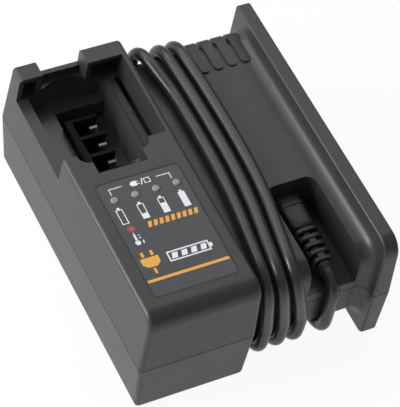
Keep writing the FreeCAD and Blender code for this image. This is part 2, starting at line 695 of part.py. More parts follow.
def leaf(index):
    """A strip that climbs from its root to a rounded crest and drops to its tip."""
    start = num(f"{chamber_front(index)}+leaf_gap")
    root, crest, gauge = num("leaf_root"), num("leaf_crest"), num("leaf_gauge")
    reach, tip = num("leaf_reach"), num("leaf_tip")
    left = num(f"{side('terminal_left')}+terminal_width-1-leaf_width")
    line = [(start, root), (start + 0.25 * reach, root + 0.2), (start + 0.85 * reach, crest - 0.5),
            (start + reach, crest), (start + reach + 0.4 * tip, crest - 0.4), (start + reach + tip, crest - 3.0)]
    under = [(y, z - gauge) for y, z in line[:2]] + [(y + gauge * 0.8, z - gauge * 0.9) for y, z in line[2:3]]
    under += [(line[3][0], crest - gauge * 1.3), (line[4][0] - gauge * 0.8, line[4][1] - gauge),
              (line[5][0] - gauge, line[5][1])]
    outline = [Vector(left, y, z) for y, z in line + under[::-1]]
    face = Part.Face(Part.makePolygon(outline + outline[:1]))
    return computed(f"leaf_{index}", face.extrude(Vector(num("leaf_width"), 0, 0)))


node(terminal_block(), "terminal_block")
for index in range(int(num("terminal_count"))):
    node(leaf(index), f"contact_leaf_{index + 1}")


# The control face: overlay, lenses, and the small board that carries the lamps.
def overlay():
    left, front = side("panel_left"), along("panel_front")
    plain = box("overlay_plain", left, f"{left}+panel_width", front, f"{front}+panel_length",
                "height-panel_gauge-0.1", "height-0.1")
    soft = rounded("overlay_soft", plain, (("panel_round", lambda e: runs(e, 2)),))
    holes = [post(f"overlay_hole_{index}", x, along("lamp_front"), f"height-{BEYOND}", f"height+{BEYOND}",
                  "lamp_radius+fit_gap") for index, x in enumerate(lens_places())]
    return cut("overlay_done", soft, holes)


def lens(index, x):
    """A domed light pipe with a collar that bears on the shell from below."""
    pipe = post(f"pipe_{index}", x, along("lamp_front"), "height-skin-1.2", "height+lamp_rise", "lamp_radius")
    domed = rounded(f"pipe_domed_{index}", pipe, (("0.9", lambda e: middle(e).z > num("height")),))
    collar = post(f"collar_{index}", x, along("lamp_front"), "height-skin-1.2", "height-skin", "lamp_collar")
    return joined(f"lens_{index}", [domed, collar])


BOARD_DROP = "(height-skin-1.2-2.0)"
node(overlay(), "control_overlay")
for index, x in enumerate(lens_places()):
    node(lens(index, x), f"status_lens_{index + 1}")
node(joined("lamps", [box(f"lamp_{index}", f"{x}-1.6", f"{x}+1.6", f"{along('lamp_front')}-1.6",
                          f"{along('lamp_front')}+1.6", BOARD_DROP, "height-skin-1.2")
                      for index, x in enumerate(lens_places())]), "status_lamps")
node(box("control_board", f"{side('lamp_first')}-6", f"{side('lamp_first')}+3*lamp_pitch+6",
         f"{along('lamp_front')}-9", f"{along('lamp_front')}+6", f"{BOARD_DROP}-board_gauge", BOARD_DROP),
     "control_board")
node(joined("board_pillars", [post(f"board_pillar_{index}", x, f"{along('lamp_front')}-6", BOARD_DROP,
                                   "height-skin", "1.8")
                              for index, x in enumerate((lens_places()[0] + "-3", lens_places()[3] + "+3"))]),
     "control_board_pillars")


# The main board on its stands, with the pieces soldered to it.
BOARD_TOP = "(board_height+board_gauge)"


def on_board(name, x, y, wide, deep, high, label):
    """A plain package standing on the board, placed by its middle from the side and the front."""
    x, y = screw_place(x, y)
    made = box(name, f"{x}-{wide}/2", f"{x}+{wide}/2", f"{y}-{deep}/2", f"{y}+{deep}/2", BOARD_TOP,
               f"{BOARD_TOP}+{high}")
    return node(made, label) if label else made


def heat_sink():
    """An upright plate with fins."""
    x, y = screw_place("68", "62")
    spine = box("sink_spine", x, f"{x}+3", f"{y}-14", f"{y}+14", BOARD_TOP, f"{BOARD_TOP}+24")
    fins = [box(f"fin_{index}", f"{x}+3", f"{x}+11", f"{y}-14+{index}*5.2", f"{y}-12+{index}*5.2",
                BOARD_TOP, f"{BOARD_TOP}+24") for index in range(6)]
    return joined("heat_sink", [spine] + fins)


def transformer():
    """A core with two windows, and the wound bobbin on its middle limb."""
    x, y = screw_place("80", "102")
    core = box("core_block", f"{x}-14", f"{x}+14", f"{y}-12", f"{y}+12", BOARD_TOP, f"{BOARD_TOP}+22")
    windows = [box(f"core_window_{index}", f"{x}{low}", f"{x}{high}", f"{y}-13", f"{y}+13",
                   f"{BOARD_TOP}+4", f"{BOARD_TOP}+18")
               for index, (low, high) in enumerate((("-10.5", "-4.5"), ("+4.5", "+10.5")))]
    coil = box("bobbin_block", f"{x}-10.3", f"{x}+10.3", f"{y}-15", f"{y}+15",
               f"{BOARD_TOP}+4.2", f"{BOARD_TOP}+17.8")
    limb = box("bobbin_limb", f"{x}-4.5", f"{x}+4.5", f"{y}-12", f"{y}+12",
               f"{BOARD_TOP}+4.2", f"{BOARD_TOP}+17.8")
    return cut("core_done", core, windows), cut("bobbin_done", coil, [limb])


def capacitors():
    places = (("68", "(length-36)"), ("80", "(length-33)"), ("92", "(length-36)"))
    made = []
    for index, (x, y) in enumerate(places):
        x, y = screw_place(x, y)
        can = post(f"can_{index}", x, y, BOARD_TOP, f"{BOARD_TOP}+20", "5.0")
        made.append(rounded(f"can_soft_{index}", can, (
            ("0.9", lambda e: middle(e).z > num(f"{BOARD_TOP}+1")),)))
    return joined("cans", made)


def choke():
    x, y = screw_place("94", "66")
    ring = post("choke_ring", x, y, BOARD_TOP, f"{BOARD_TOP}+8", "9")
    bore = post("choke_bore", x, y, f"{BOARD_TOP}-1", f"{BOARD_TOP}+9", "3.6")
    return cut("choke", ring, [bore])


board = box("board_blank", side("board_left"), f"{side('board_left')}+board_width", along("board_front"),
            inward("board_back"), "board_height", BOARD_TOP)
node(board, "main_board")
node(heat_sink(), "heat_sink")
core, bobbin = transformer()
node(core, "transformer_core")
node(bobbin, "transformer_winding")
node(capacitors(), "smoothing_capacitors")
node(choke(), "choke")
on_board("transistor", "65.6", "62", "4.8", "10.4", "15", "power_transistor")
on_board("chip", "30", "58", "7", "7", "1.6", "control_chip")
on_board("plug_header", "24", "40", "14", "6", "7", "board_connector")


# Fasteners, feet and the bare rating plate.
def housing_screw(index, x, y, base):
    x, y = screw_place(x, y)
    start = f"({base}+head_height+skin)"
    head = post(f"screw_head_{index}", x, y, f"{start}-head_height", start, "screw_head")
    shank = post(f"screw_shank_{index}", x, y, start, "joint_height+screw_bite", "screw_radius")
    return joined(f"housing_screw_{index}", [head, shank])


def board_screw(index, x, y):
    x, y = screw_place(x, y)
    return post(f"board_screw_{index}", x, y, BOARD_TOP, f"{BOARD_TOP}+1.8", "screw_head")


node(joined("screws", [housing_screw(index, *where) for index, where in enumerate(SCREWS)]), "housing_screws")
node(joined("stand_screws", [board_screw(index, x, y) for index, (x, y, _) in enumerate(STANDS)]),
     "board_screws")
node(joined("feet", feet_seats("foot", "fit_gap", f"{SHELL_BASE}+foot_seat")), "rubber_feet")
node(plate("rating_plate", "fit_gap", f"{SHELL_BASE}+0.05", f"{SHELL_BASE}+plate_gauge"), "rating_plate")


# The socket behind the lead bay's wall and the plug that slides out of it.
def socket():
    x, wall = side("plug_x"), along("recess_back")
    body = box("socket_body", f"{x}-socket_side/2", f"{x}+socket_side/2", f"{wall}+skin",
               f"{wall}+skin+socket_depth", "plug_height-socket_side/2", "plug_height+socket_side/2")
    neck = rod("socket_neck", x, f"{wall}-neck_stand", f"{wall}+skin+1", "plug_height", "neck_radius")
    bore = rod("socket_bore", x, f"{wall}-neck_stand-1", f"{wall}-neck_stand+barrel_length+0.6", "plug_height",
               "barrel_radius+barrel_gap")
    return cut("socket", joined("socket_whole", [body, neck]), [bore])


def grip():
    """The plug's grip with a rounded form and two ridges at the socket end."""
    x, end = side("plug_x"), f"({along('recess_back')}-neck_stand)"
    half_wide, half_thick = "plug_width/2", "plug_thick/2"
    plain = box("grip_plain", f"{x}-{half_wide}", f"{x}+{half_wide}", f"{end}-plug_length", end,
                f"plug_height-{half_thick}", f"plug_height+{half_thick}")
    soft = rounded("grip_soft", plain, (("plug_round", lambda e: runs(e, 1)),))
    ridges = []
    for index, back_off in enumerate(("0.9", "4.6")):
        ridge = box(f"ridge_{index}", f"{x}-{half_wide}-ridge_rise", f"{x}+{half_wide}+ridge_rise",
                    f"{end}-{back_off}-ridge_width", f"{end}-{back_off}", f"plug_height-{half_thick}-ridge_rise",
                    f"plug_height+{half_thick}+ridge_rise")
        ridges.append(rounded(f"ridge_soft_{index}", ridge, (("plug_round", lambda e: runs(e, 1)),)))
    return joined("grip", [soft] + ridges)


def disc(y, radius, drift):
    """A circle across the relief: drift is how far its middle has moved towards the winding."""
    centre = Vector(num(side("plug_x")) - drift, y, num("plug_height"))
    return Part.Wire(Part.Circle(centre, Vector(0, 1, 0), radius).toShape())


def relief():
    """A tapering core with rings, bent a little towards the winding. The lead starts at its tip."""
    start = num(f"{along('recess_back')}-neck_stand-plug_length")
    length, drift, count = num("relief_length"), num("lead_drift"), int(num("relief_count"))
    tip_radius = num("lead_radius") + 0.2
    core = Part.makeLoft([disc(start, 3.9, 0), disc(start - length, tip_radius, drift)], True, True)
    pitch = length / (count + 0.2)
    for index in range(count):
        near_end = start - 1.2 - index * pitch
        share = index / max(count - 1, 1)
        radius = num("relief_root") + share * (num("relief_tip") - num("relief_root"))
        shift = drift * (start - near_end) / length
        far_disc = disc(near_end - num("relief_ring"), radius - 0.2, shift + drift * 0.12)
        ring = Part.makeLoft([disc(near_end, radius, shift), far_disc], True, True)
        core = core.fuse(ring)
    return computed("plug_relief_form", core.removeSplitter())


def barrel():
    x, end = side("plug_x"), f"({along('recess_back')}-neck_stand)"
    tube = rod("barrel_tube", x, end, f"{end}+barrel_length", "plug_height", "barrel_radius")
    bore = rod("barrel_hole", x, f"{end}+1.5", f"{end}+barrel_length+1", "plug_height", "barrel_bore")
    return cut("barrel", tube, [bore])


def socket_pin():
    """The pin inside the socket: it stands on the bore's end and reaches into the barrel."""
    x, end = side("plug_x"), f"({along('recess_back')}-neck_stand)"
    return rod("socket_pin", x, f"{end}+2.5", f"{end}+barrel_length+0.6", "plug_height", "pin_radius")


node(socket(), "supply_socket")
node(socket_pin(), "socket_pin")
node(grip(), "supply_plug")
node(relief(), "plug_strain_relief")
node(barrel(), "plug_barrel")


# The supply lead: straight runs joined by tangent arcs, one unbroken tube in three stretches.
def corner(before, at, after, radius):
    """Start, middle and end of the arc of that radius which rounds the corner at a point."""
    back, on = (before - at).normalize(), (after - at).normalize()
    turn = math.pi - back.getAngle(on)
    reach = radius * math.tan(turn / 2)
    start, end = at + back * reach, at + on * reach
    bisector = (back + on).normalize()
    centre = at + bisector * (radius / math.cos(turn / 2))
    return start, centre - bisector * radius, end


def gentle(before, at, after):
    """The widest radius that both runs allow."""
    back, on = before - at, after - at
    turn = math.pi - back.getAngle(on)
    return 0.45 * min(back.Length, on.Length) / math.tan(turn / 2)


def path(route):
    """One wire along a route of (point, radius), where no radius means the widest; prints the radii."""
    points = [Vector(*point) for point, _ in route]
    edges, radii, here = [], [], points[0]
    for index in range(1, len(points) - 1):
        before, at, after = points[index - 1:index + 2]
        radius = route[index][1] or gentle(before, at, after)
        radii.append(round(radius, 1))
        start, mid, end = corner(before, at, after, radius)
        edges.append(Part.LineSegment(here, start).toShape())
        edges.append(Part.Arc(start, mid, end).toShape())
        here = end
    edges.append(Part.LineSegment(here, points[-1]).toShape())
    return Part.Wire(edges), radii


def tube(name, route):
    """The lead along a route, with its volume set against section times length."""
    wire, radii = path(route)
    points = [Vector(*point) for point, _ in route]
    way = (points[1] - points[0]).normalize()
    ring = Part.Wire(Part.Circle(points[0], way, num("lead_radius")).toShape())
    solid = wire.makePipeShell([ring], True, False)
    share = solid.Volume / (math.pi * num("lead_radius") ** 2 * wire.Length)
    print(f"{name}: length {wire.Length:.1f} mm, volume share {share:.4f}, radii {radii}")
    return computed(name, solid), wire


def winding_levels():
    """Y in front of and behind the bridge, and Z above and below it, of the lead's centre line."""
    out = "(lead_radius+lead_slack)"
    return (num(f"{BRIDGE_FRONT}-{out}"), num(f"{BRIDGE_BACK}+{out}"), num(f"bridge_top+{out}"),
            num(f"bridge_base-{out}"))


FRONT_Y, BACK_Y, OVER_Z, UNDER_Z = winding_levels()
FLOOR_Z = num("lead_radius")
CROWN = num("bridge_round+lead_radius+lead_slack")
KEEL = num("keel_round+lead_radius+lead_slack")
# How a pass bows over the top: share of the way from the back edge to the front edge, and the bow in X.
BOW = ((0.22, 1.6), (0.44, 2.1), (0.65, 0.7), (0.85, -3.0))


def under(index):
    """Where pass number index leaves the front bottom edge and reaches the back bottom edge."""
    front = num(f"{side('low_first')}") - num("low_pitch") * index
    back = num(f"{side('turn_first')}") - num("turn_pitch") * index
    return front, back


def lead_in_route():
    x = num(f"{side('plug_x')}-lead_drift")
    start = num(f"{along('recess_back')}-neck_stand-plug_length-relief_length")
    back = under(0)[1]
    middle_under = ((x + back) / 2, (FRONT_Y + BACK_Y) / 2, UNDER_Z)
    return [((x, start, num("plug_height")), None), ((x, FRONT_Y, num("plug_height")), num("exit_round")),
            ((x, FRONT_Y, UNDER_Z), KEEL), (middle_under, None)]


def winding_route():
    route = [lead_in_route()[-1]]
    for index in range(int(num("turn_count"))):
        front, back = under(index)
        shoulder = num(f"{side('turn_first')}-8.3") - num("front_pitch") * index
        route.append(((back, BACK_Y, UNDER_Z), KEEL))
        route.append(((back, BACK_Y, OVER_Z), CROWN))
        for share, bow in BOW:
            route.append(((back + bow, BACK_Y + share * (FRONT_Y - BACK_Y), OVER_Z), None))
        route.append(((shoulder, FRONT_Y, OVER_Z), CROWN))
        route.append(((front + 1.4, FRONT_Y, UNDER_Z + 0.33 * (OVER_Z - UNDER_Z)), None))
        route.append(((front, FRONT_Y, UNDER_Z), KEEL))
    last = route[-1][0]
    route.append(((last[0], last[1] + 17.0, UNDER_Z), None))
    return route


def tail_route():
    """From under the bridge down to the table, below the turns and out to the right."""
    start = winding_route()[-1][0]
    steps = ((0.0, 11.0), (0.4, 15.0), (1.6, 14.0), (7.5, 14.0), (10.0, 12.0), (10.5, 10.5), (5.5, 12.0),
             (0.0, 11.0))
    route = [(start, None)]
    x, y, _ = start
    for index, (right, back) in enumerate(steps):
        x, y = x + right, y + back
        route.append(((x, y, UNDER_Z if index == 0 else FLOOR_Z), None))
    return route


def least_self_gap(wire):
    """Least clear space between stretches of the winding that lie over 30 mm apart along it."""
    points = wire.discretize(Distance=2.0)
    step = wire.Length / (len(points) - 1)
    skip = int(30 / step)
    least = min((points[i] - points[k]).Length for i in range(len(points)) for k in range(i + skip, len(points)))
    return least - 2 * num("lead_radius")


lead_in, lead_in_wire = tube("lead_in", lead_in_route())
winding, winding_wire = tube("winding", winding_route())
tail, tail_wire = tube("tail", tail_route())
print(f"winding's least gap to itself {least_self_gap(winding_wire):.2f} mm")
print(f"whole lead {lead_in_wire.Length + winding_wire.Length + tail_wire.Length:.0f} mm")
node(lead_in, "cord_lead_in")
node(winding, "cord_winding")
node(tail, "cord_tail")


# The connector at the far end of the lead, on the table.
def far_end():
    x, y, z = tail_route()[-1][0]
    up = num("end_radius")
    return x, y, up


def far_connector():
    """A grip with a tapering strain relief, lying on the table, and its metal barrel."""
    x, y, up = far_end()
    way = Vector(0, 1, 0)
    rings = [Part.Wire(Part.Circle(Vector(x, y + step, centre), way, radius).toShape())
             for step, centre, radius in ((0, num("lead_radius") + 0.3, num("lead_radius") + 0.3),
                                          (num("end_relief"), up * 0.9, up * 0.82),
                                          (num("end_relief") + 1.5, up, up))]
    sleeve = Part.makeLoft(rings, True, True)
    grip_form = Part.makeCylinder(up, num("end_length"), Vector(x, y + num("end_relief") + 1.5, up), way)
    end = y + num("end_relief") + 1.5 + num("end_length")
    metal = Part.makeCylinder(num("barrel_radius"), num("end_barrel"), Vector(x, end, up), way)
    hole = Part.makeCylinder(num("barrel_bore"), num("end_barrel"), Vector(x, end + 1.5, up), way)
    return computed("end_grip", sleeve.fuse(grip_form)), computed("end_metal", metal.cut(hole))


end_grip, end_metal = far_connector()
node(end_grip, "end_connector")
node(end_metal, "end_connector_barrel")


# Checks, then one file for each piece.
def faulty(thing):
    if "Invalid" in thing.State or "Error" in thing.State:
        return True
    return hasattr(thing, "Shape") and (thing.Shape.isNull() or not thing.Shape.isValid())


doc.recompute()
bad = [thing.Name for thing in doc.Objects if faulty(thing)]
if bad:
    raise SystemExit(f"failed objects: {bad}")
os.makedirs("parts", exist_ok=True)
for thing in nodes:
    thing.Shape.exportStep(f"parts/{thing.Label}.step")
print(f"{len(nodes)} pieces, all sound")
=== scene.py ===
"""Looks of the power tool battery charger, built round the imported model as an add-on of one operator a piece.

All sizes are in millimetres unless a property says otherwise. Places named "from the side" and "from the
front" start at the housing's left side and front end, as the part's own driving sizes do.
"""
import math

import bmesh
import bpy
from bpy.props import FloatProperty, FloatVectorProperty, IntProperty, PointerProperty, StringProperty
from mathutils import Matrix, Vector


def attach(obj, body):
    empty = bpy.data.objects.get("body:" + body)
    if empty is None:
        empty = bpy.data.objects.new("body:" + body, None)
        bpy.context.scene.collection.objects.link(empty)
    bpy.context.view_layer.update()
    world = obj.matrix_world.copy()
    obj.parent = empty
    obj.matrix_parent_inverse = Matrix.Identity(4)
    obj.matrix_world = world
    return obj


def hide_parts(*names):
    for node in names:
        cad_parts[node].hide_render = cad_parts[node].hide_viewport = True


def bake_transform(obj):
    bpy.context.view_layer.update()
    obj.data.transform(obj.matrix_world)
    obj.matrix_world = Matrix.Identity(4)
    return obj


bl_info = {
    "name": "Battery charger looks",
    "version": (1, 0, 0),
    "blender": (4, 5, 0),
    "location": "View3D > Sidebar > Charger",
    "description": "Materials, printed control face, wound lead and small fittings of a battery charger",
    "category": "Object",
}

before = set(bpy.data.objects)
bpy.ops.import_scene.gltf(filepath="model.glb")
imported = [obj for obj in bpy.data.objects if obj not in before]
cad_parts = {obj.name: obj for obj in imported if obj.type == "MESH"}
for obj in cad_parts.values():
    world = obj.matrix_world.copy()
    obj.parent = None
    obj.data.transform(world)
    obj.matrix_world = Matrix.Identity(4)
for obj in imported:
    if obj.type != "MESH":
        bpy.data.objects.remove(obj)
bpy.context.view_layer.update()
MM = 0.001
HALF_WIDTH = 65.0
HALF_LENGTH = 80.0
HOUSING = "housing"
PLUG = "supply_plug"


def at(side, front, high=0.0):
    """A point from the housing's left side, its front end and the table, in metres in the model's frame."""
    return Vector(((side - HALF_WIDTH) * MM, (front - HALF_LENGTH) * MM, high * MM))


# Colours and finishes.
def linear(code):
    """An sRGB hex colour as the linear RGBA that shaders take."""
    parts = [int(code[index:index + 2], 16) / 255 for index in (1, 3, 5)]
    return tuple(((c + 0.055) / 1.055) ** 2.4 if c > 0.04045 else c / 12.92 for c in parts) + (1.0,)


def add(tree, kind, settings=None, **links):
    """A node with its settings, and its inputs set to values or linked to other nodes' outputs."""
    made = tree.nodes.new(kind)
    for name, value in (settings or {}).items():
        setattr(made, name, value)
    for name, value in links.items():
        key = int(name[1:]) if name[0] == "i" and name[1:].isdigit() else name.replace("_", " ")
        socket = made.inputs[key]
        if isinstance(value, bpy.types.NodeSocket):
            tree.links.new(value, socket)
        else:
            socket.default_value = value
    return made


def blank(name):
    """A new material with only a Principled shader, and its tree, its shader and its object coordinates."""
    material = bpy.data.materials.new(name)
    material.use_nodes = True
    tree = material.node_tree
    tree.nodes.clear()
    shader = add(tree, "ShaderNodeBsdfPrincipled")
    add(tree, "ShaderNodeOutputMaterial", Surface=shader.outputs["BSDF"])
    place = add(tree, "ShaderNodeTexCoord").outputs["Object"]
    return material, tree, shader, place


# How much of the grain shows in a surface's colour and in its height, and how far its gloss wanders.
GRAIN_TINT, GRAIN_RELIEF, GLOSS_WANDER = 0.18, 0.6, 0.02


def grained(name, code, grain_mm, depth_mm, roughness, tone=0.12, patch_mm=14.0, ior=1.5):
    """A moulded or sheathed surface: fine grain in its height, and slow changes of tone and gloss."""
    material, tree, shader, place = blank(name)
    grain = add(tree, "ShaderNodeTexNoise", Vector=place, Scale=1 / (grain_mm * MM), Detail=3.0,
                Roughness=0.6)
    patches = add(tree, "ShaderNodeTexNoise", Vector=place, Scale=1 / (patch_mm * MM), Detail=4.0)
    dark = tuple(c * (1 - tone) for c in linear(code)[:3]) + (1.0,)
    light = tuple(min(1.0, c * (1 + tone)) for c in linear(code)[:3]) + (1.0,)
    ramp = add(tree, "ShaderNodeMix", {"data_type": "RGBA"}, i0=patches.outputs["Fac"], i6=dark, i7=light)
    speck = add(tree, "ShaderNodeMix", {"data_type": "RGBA", "blend_type": "MULTIPLY"}, i0=GRAIN_TINT,
                i6=ramp.outputs[2], i7=grain.outputs["Color"])
    gloss = add(tree, "ShaderNodeMapRange", i0=patches.outputs["Fac"], i1=0.3, i2=0.7,
                i3=roughness - GLOSS_WANDER, i4=roughness + GLOSS_WANDER)
    bump = add(tree, "ShaderNodeBump", Height=grain.outputs["Fac"], Distance=depth_mm * MM,
               Strength=GRAIN_RELIEF)
    tree.links.new(speck.outputs[2], shader.inputs["Base Color"])
    tree.links.new(gloss.outputs[0], shader.inputs["Roughness"])
    tree.links.new(bump.outputs[0], shader.inputs["Normal"])
    shader.inputs["IOR"].default_value = ior
    return material


def spark_eroded_abs(colours):
    """Dark grey ABS from a spark eroded mould: a fine even grain that breaks highlights into a soft sheen."""
    return grained("spark_eroded_abs", colours.shell, 0.55, 0.035, 0.42, tone=0.06)


def tub_abs_painted_light(colours):
    """ABS of the tub from a polished mould, glossier, with faint sink marks; lighter than the shell's grey as
    painted light.
    """
    return grained("polished_mould_abs", colours.cradle, 0.8, 0.015, 0.3, tone=0.15, patch_mm=7.0)


def glass_filled_pbt(colours):
    """Black glass filled polyester of the terminal block: dull and deep, with short fibres in its skin."""
    return grained("glass_filled_pbt", colours.terminal, 0.35, 0.02, 0.48, tone=0.3, patch_mm=2.0, ior=1.2)


def pvc_sheath(colours):
    """Soft PVC of the lead: satin, with a slight wave along it from being wound for years."""
    return grained("pvc_sheath", colours.sheath, 1.6, 0.03, 0.33, tone=0.1, patch_mm=9.0)


def pvc_overmould(colours):
    """Harder PVC moulded on the lead's ends: a dull fine grain."""
    return grained("pvc_overmould", colours.overmould, 0.6, 0.04, 0.46, tone=0.08)


def printed_film(colours):
    """Polycarbonate film with a fine matt embossing, printed from behind in bluish grey."""
    return grained("matt_polycarbonate_film", colours.film, 0.4, 0.012, 0.34, tone=0.03)


def screen_ink(name, code):
    """Screen printed ink: flat, slightly uneven, with a faint mesh grain."""
    return grained(name, code, 0.3, 0.006, 0.5, tone=0.04, patch_mm=3.0)


def moulded_rubber(colours):
    """Moulded rubber of the feet: black and almost without shine."""
    return grained("rubber_feet_compound", colours.rubber, 0.5, 0.04, 0.75)


def anodised_plate(colours):
    """Bare anodised aluminium of the rating plate: pale, even and silky."""
    return grained("bare_anodised_plate", colours.plate, 0.2, 0.01, 0.4)


def nickel_strip(colours):
    """Nickel plated spring strip: rolled lines along it and a warm bright shine."""
    material, tree, shader, place = blank("nickel_plated_strip")
    lines = add(tree, "ShaderNodeMapping", Vector=place, Scale=(1 / (0.12 * MM), 60.0, 60.0))
    rolled = add(tree, "ShaderNodeTexNoise", Vector=lines.outputs[0], Scale=1.0, Detail=2.0)
    bump = add(tree, "ShaderNodeBump", Height=rolled.outputs["Fac"], Distance=0.01 * MM, Strength=0.4)
    gloss = add(tree, "ShaderNodeMapRange", i0=rolled.outputs["Fac"], i3=0.16, i4=0.34)
    shader.inputs["Base Color"].default_value = linear(colours.nickel)
    shader.inputs["Metallic"].default_value = 1.0
    tree.links.new(gloss.outputs[0], shader.inputs["Roughness"])
    tree.links.new(bump.outputs[0], shader.inputs["Normal"])
    return material


def frosted_lens(colours):
    """Smoked, frosted acrylic of the light pipes: greyish and a little see through."""
    material, tree, shader, place = blank("frosted_acrylic")
    cloud = add(tree, "ShaderNodeTexNoise", Vector=place, Scale=1 / (0.7 * MM), Detail=2.0)
    tone = add(tree, "ShaderNodeMix", {"data_type": "RGBA"}, i0=cloud.outputs["Fac"],
               i6=linear(colours.lens_dark), i7=linear(colours.lens))
    tree.links.new(tone.outputs[2], shader.inputs["Base Color"])
    shader.inputs["Roughness"].default_value = 0.3
    shader.inputs["Subsurface Weight"].default_value = 0.2
    shader.inputs["Subsurface Radius"].default_value = (0.001, 0.001, 0.001)
    return material


def zinc_steel(colours):
    """Zinc plated steel of the screws: dull with fine turning marks."""
    material, tree, shader, place = blank("zinc_plated_steel")
    marks = add(tree, "ShaderNodeTexNoise", Vector=place, Scale=1 / (0.25 * MM), Detail=3.0)
    gloss = add(tree, "ShaderNodeMapRange", i0=marks.outputs["Fac"], i3=0.3, i4=0.5)
    shader.inputs["Base Color"].default_value = linear(colours.zinc)
    shader.inputs["Metallic"].default_value = 1.0
    tree.links.new(gloss.outputs[0], shader.inputs["Roughness"])
    return material


def solder_mask(colours):
    """Green solder mask over copper tracks that show as slightly lighter lines."""
    material, tree, shader, place = blank("solder_mask")
    tracks = add(tree, "ShaderNodeTexBrick", Vector=place, Scale=1.0, Color1=linear(colours.mask),
                 Color2=linear(colours.mask), Mortar=linear(colours.track))
    tracks.inputs["Brick Width"].default_value = 5.0 * MM
    tracks.inputs["Row Height"].default_value = 2.5 * MM
    tracks.inputs["Mortar Size"].default_value = 0.35 * MM
    tree.links.new(tracks.outputs["Color"], shader.inputs["Base Color"])
    shader.inputs["Roughness"].default_value = 0.3
    return material


class ChargerColours(bpy.types.PropertyGroup):
    """Colours of the charger, as sRGB hex codes."""
    shell: StringProperty(name="Shell", description="Textured housing", default="#2e2f2c")
    # The tub's colour is lighter than the shell's: painted light on the bay's shaded shelf.
    cradle: StringProperty(name="Cradle", description="Tub under the battery bay", default="#3a3c3a")
    terminal: StringProperty(name="Terminal", description="Terminal block", default="#0d0d0e")
    sheath: StringProperty(name="Sheath", description="Wound lead", default="#2b2c30")
    overmould: StringProperty(name="Overmould", description="Plug and relief", default="#26272a")
    film: StringProperty(name="Film", description="Control overlay", default="#323337")
    white_ink: StringProperty(name="White ink", description="Symbols", default="#e6e8ec")
    orange_ink: StringProperty(name="Orange ink", description="Stripe and ticks", default="#e3a548")
    red_ink: StringProperty(name="Red ink", description="Heat mark", default="#b04a44")
    # Painted shade: a dark line that stands for the shade in the gap round the film.
    gap_shade_ink: StringProperty(name="Border ink", description="Line round the film", default="#121214")
    nickel: StringProperty(name="Nickel", description="Contacts and barrels", default="#c9c5bb")
    lens: StringProperty(name="Lens", description="Light pipes, bright cloud", default="#8f9193")
    lens_dark: StringProperty(name="Lens, dark", description="Light pipes, dark cloud", default="#6c6e70")
    zinc: StringProperty(name="Zinc", description="Screws", default="#9a9a96")
    rubber: StringProperty(name="Rubber", description="Feet", default="#1d1e1f")
    plate: StringProperty(name="Plate", description="Bare rating plate", default="#a6a8aa")
    mask: StringProperty(name="Solder mask", description="Boards", default="#1f5a33")
    track: StringProperty(name="Tracks", description="Lines on the boards", default="#3a7a4c")


class ControlPrint(bpy.types.PropertyGroup):
    """Sizes of what is printed on the overlay."""
    top: FloatProperty(name="Overlay top", description="Table to the film's face", default=68.9)
    ink: FloatProperty(name="Ink", description="Height of the ink above the film", default=0.03)
    lamp_first: FloatProperty(name="First lamp", description="From the side", default=14.9)
    lamp_pitch: FloatProperty(name="Lamp pitch", description="Spacing of the lamps", default=10.45)
    lamp_front: FloatProperty(name="Lamp row", description="From the front", default=69.4)
    lamp_count: IntProperty(name="Lamps", description="Status lamps in the row", default=4)
    cell_first: FloatProperty(name="First cell", description="Battery symbol from the side", default=14.3)
    cell_width: FloatProperty(name="Cell width", description="Battery symbol across", default=3.3)
    cell_height: FloatProperty(name="Cell height", description="Battery symbol high", default=8.6)
    cell_front: FloatProperty(name="Cell foot", description="Battery symbols from the front", default=55.3)
    line: FloatProperty(name="Line", description="Printed line's width", default=0.42)


class LeadSizes(bpy.types.PropertyGroup):
    """Sizes of the wound lead and of the path that its passes take round the bridge."""
    radius: FloatProperty(name="Radius", description="Half the lead's thickness", default=3.1)
    front: FloatProperty(name="Front", description="Front passes, from the front", default=5.0)
    back: FloatProperty(name="Back", description="Back passes, from the front", default=156.2)
    over: FloatProperty(name="Over", description="Top passes, from the table", default=61.4)
    under: FloatProperty(name="Under", description="Bottom passes, from the table", default=9.6)
    crown: FloatProperty(name="Crown reach", description="Bend's reach at a top edge", default=14.0)
    keel: FloatProperty(name="Keel reach", description="Bend's reach at a bottom edge", default=9.8)
    bulge: FloatProperty(name="Bulge", description="Last turn leans out at the back", default=4.0)
    stand_off: FloatProperty(name="Stand off", description="Last turn above the bridge's back", default=2.6)
    turns: IntProperty(name="Turns", description="Passes over the top", default=3)


class StageSetup(bpy.types.PropertyGroup):
    """Light, and the camera in metres and degrees. The charger's own edges gave the camera's place."""
    camera: FloatVectorProperty(name="Camera", description="Camera's place", size=3, subtype="TRANSLATION",
                                unit="LENGTH", default=(-0.407568, -0.56936, 0.91113))
    azimuth: FloatProperty(name="Azimuth", description="Degrees from the front to the right", default=-35.896)
    elevation: FloatProperty(name="Elevation", description="Degrees above the table", default=51.435)
    roll: FloatProperty(name="Roll", description="Camera's roll in degrees", default=12.824)
    lens: FloatProperty(name="Lens", description="On a 36 mm frame", unit="CAMERA", default=209.02)
    key: FloatProperty(name="Key", description="Long lamp on the left", unit="POWER", default=12.0)
    rear: FloatProperty(name="Rear", description="Soft lamp behind on the left", unit="POWER", default=3.0)
    sheen: FloatProperty(name="Sheen", description="Lamp that flat tops mirror", unit="POWER", default=2.0)
    sky: FloatProperty(name="Sky", description="Strength of the surrounding light", default=0.34)


GROUPS = {"charger_colours": ChargerColours, "charger_print": ControlPrint, "charger_lead": LeadSizes,
          "charger_stage": StageSetup}


# Small mesh helpers.
def mesh_object(name, mesh, material):
    """The mesh as an object in the scene, with one material."""
    made = bpy.data.objects.new(name, mesh)
    bpy.context.scene.collection.objects.link(made)
    made.data.materials.clear()
    made.data.materials.append(material)
    return made


def paint(material, *nodes):
    """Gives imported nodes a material."""
    for name in nodes:
        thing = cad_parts[name]
        thing.data.materials.clear()
        thing.data.materials.append(material)
        for face in thing.data.polygons:
            face.material_index = 0


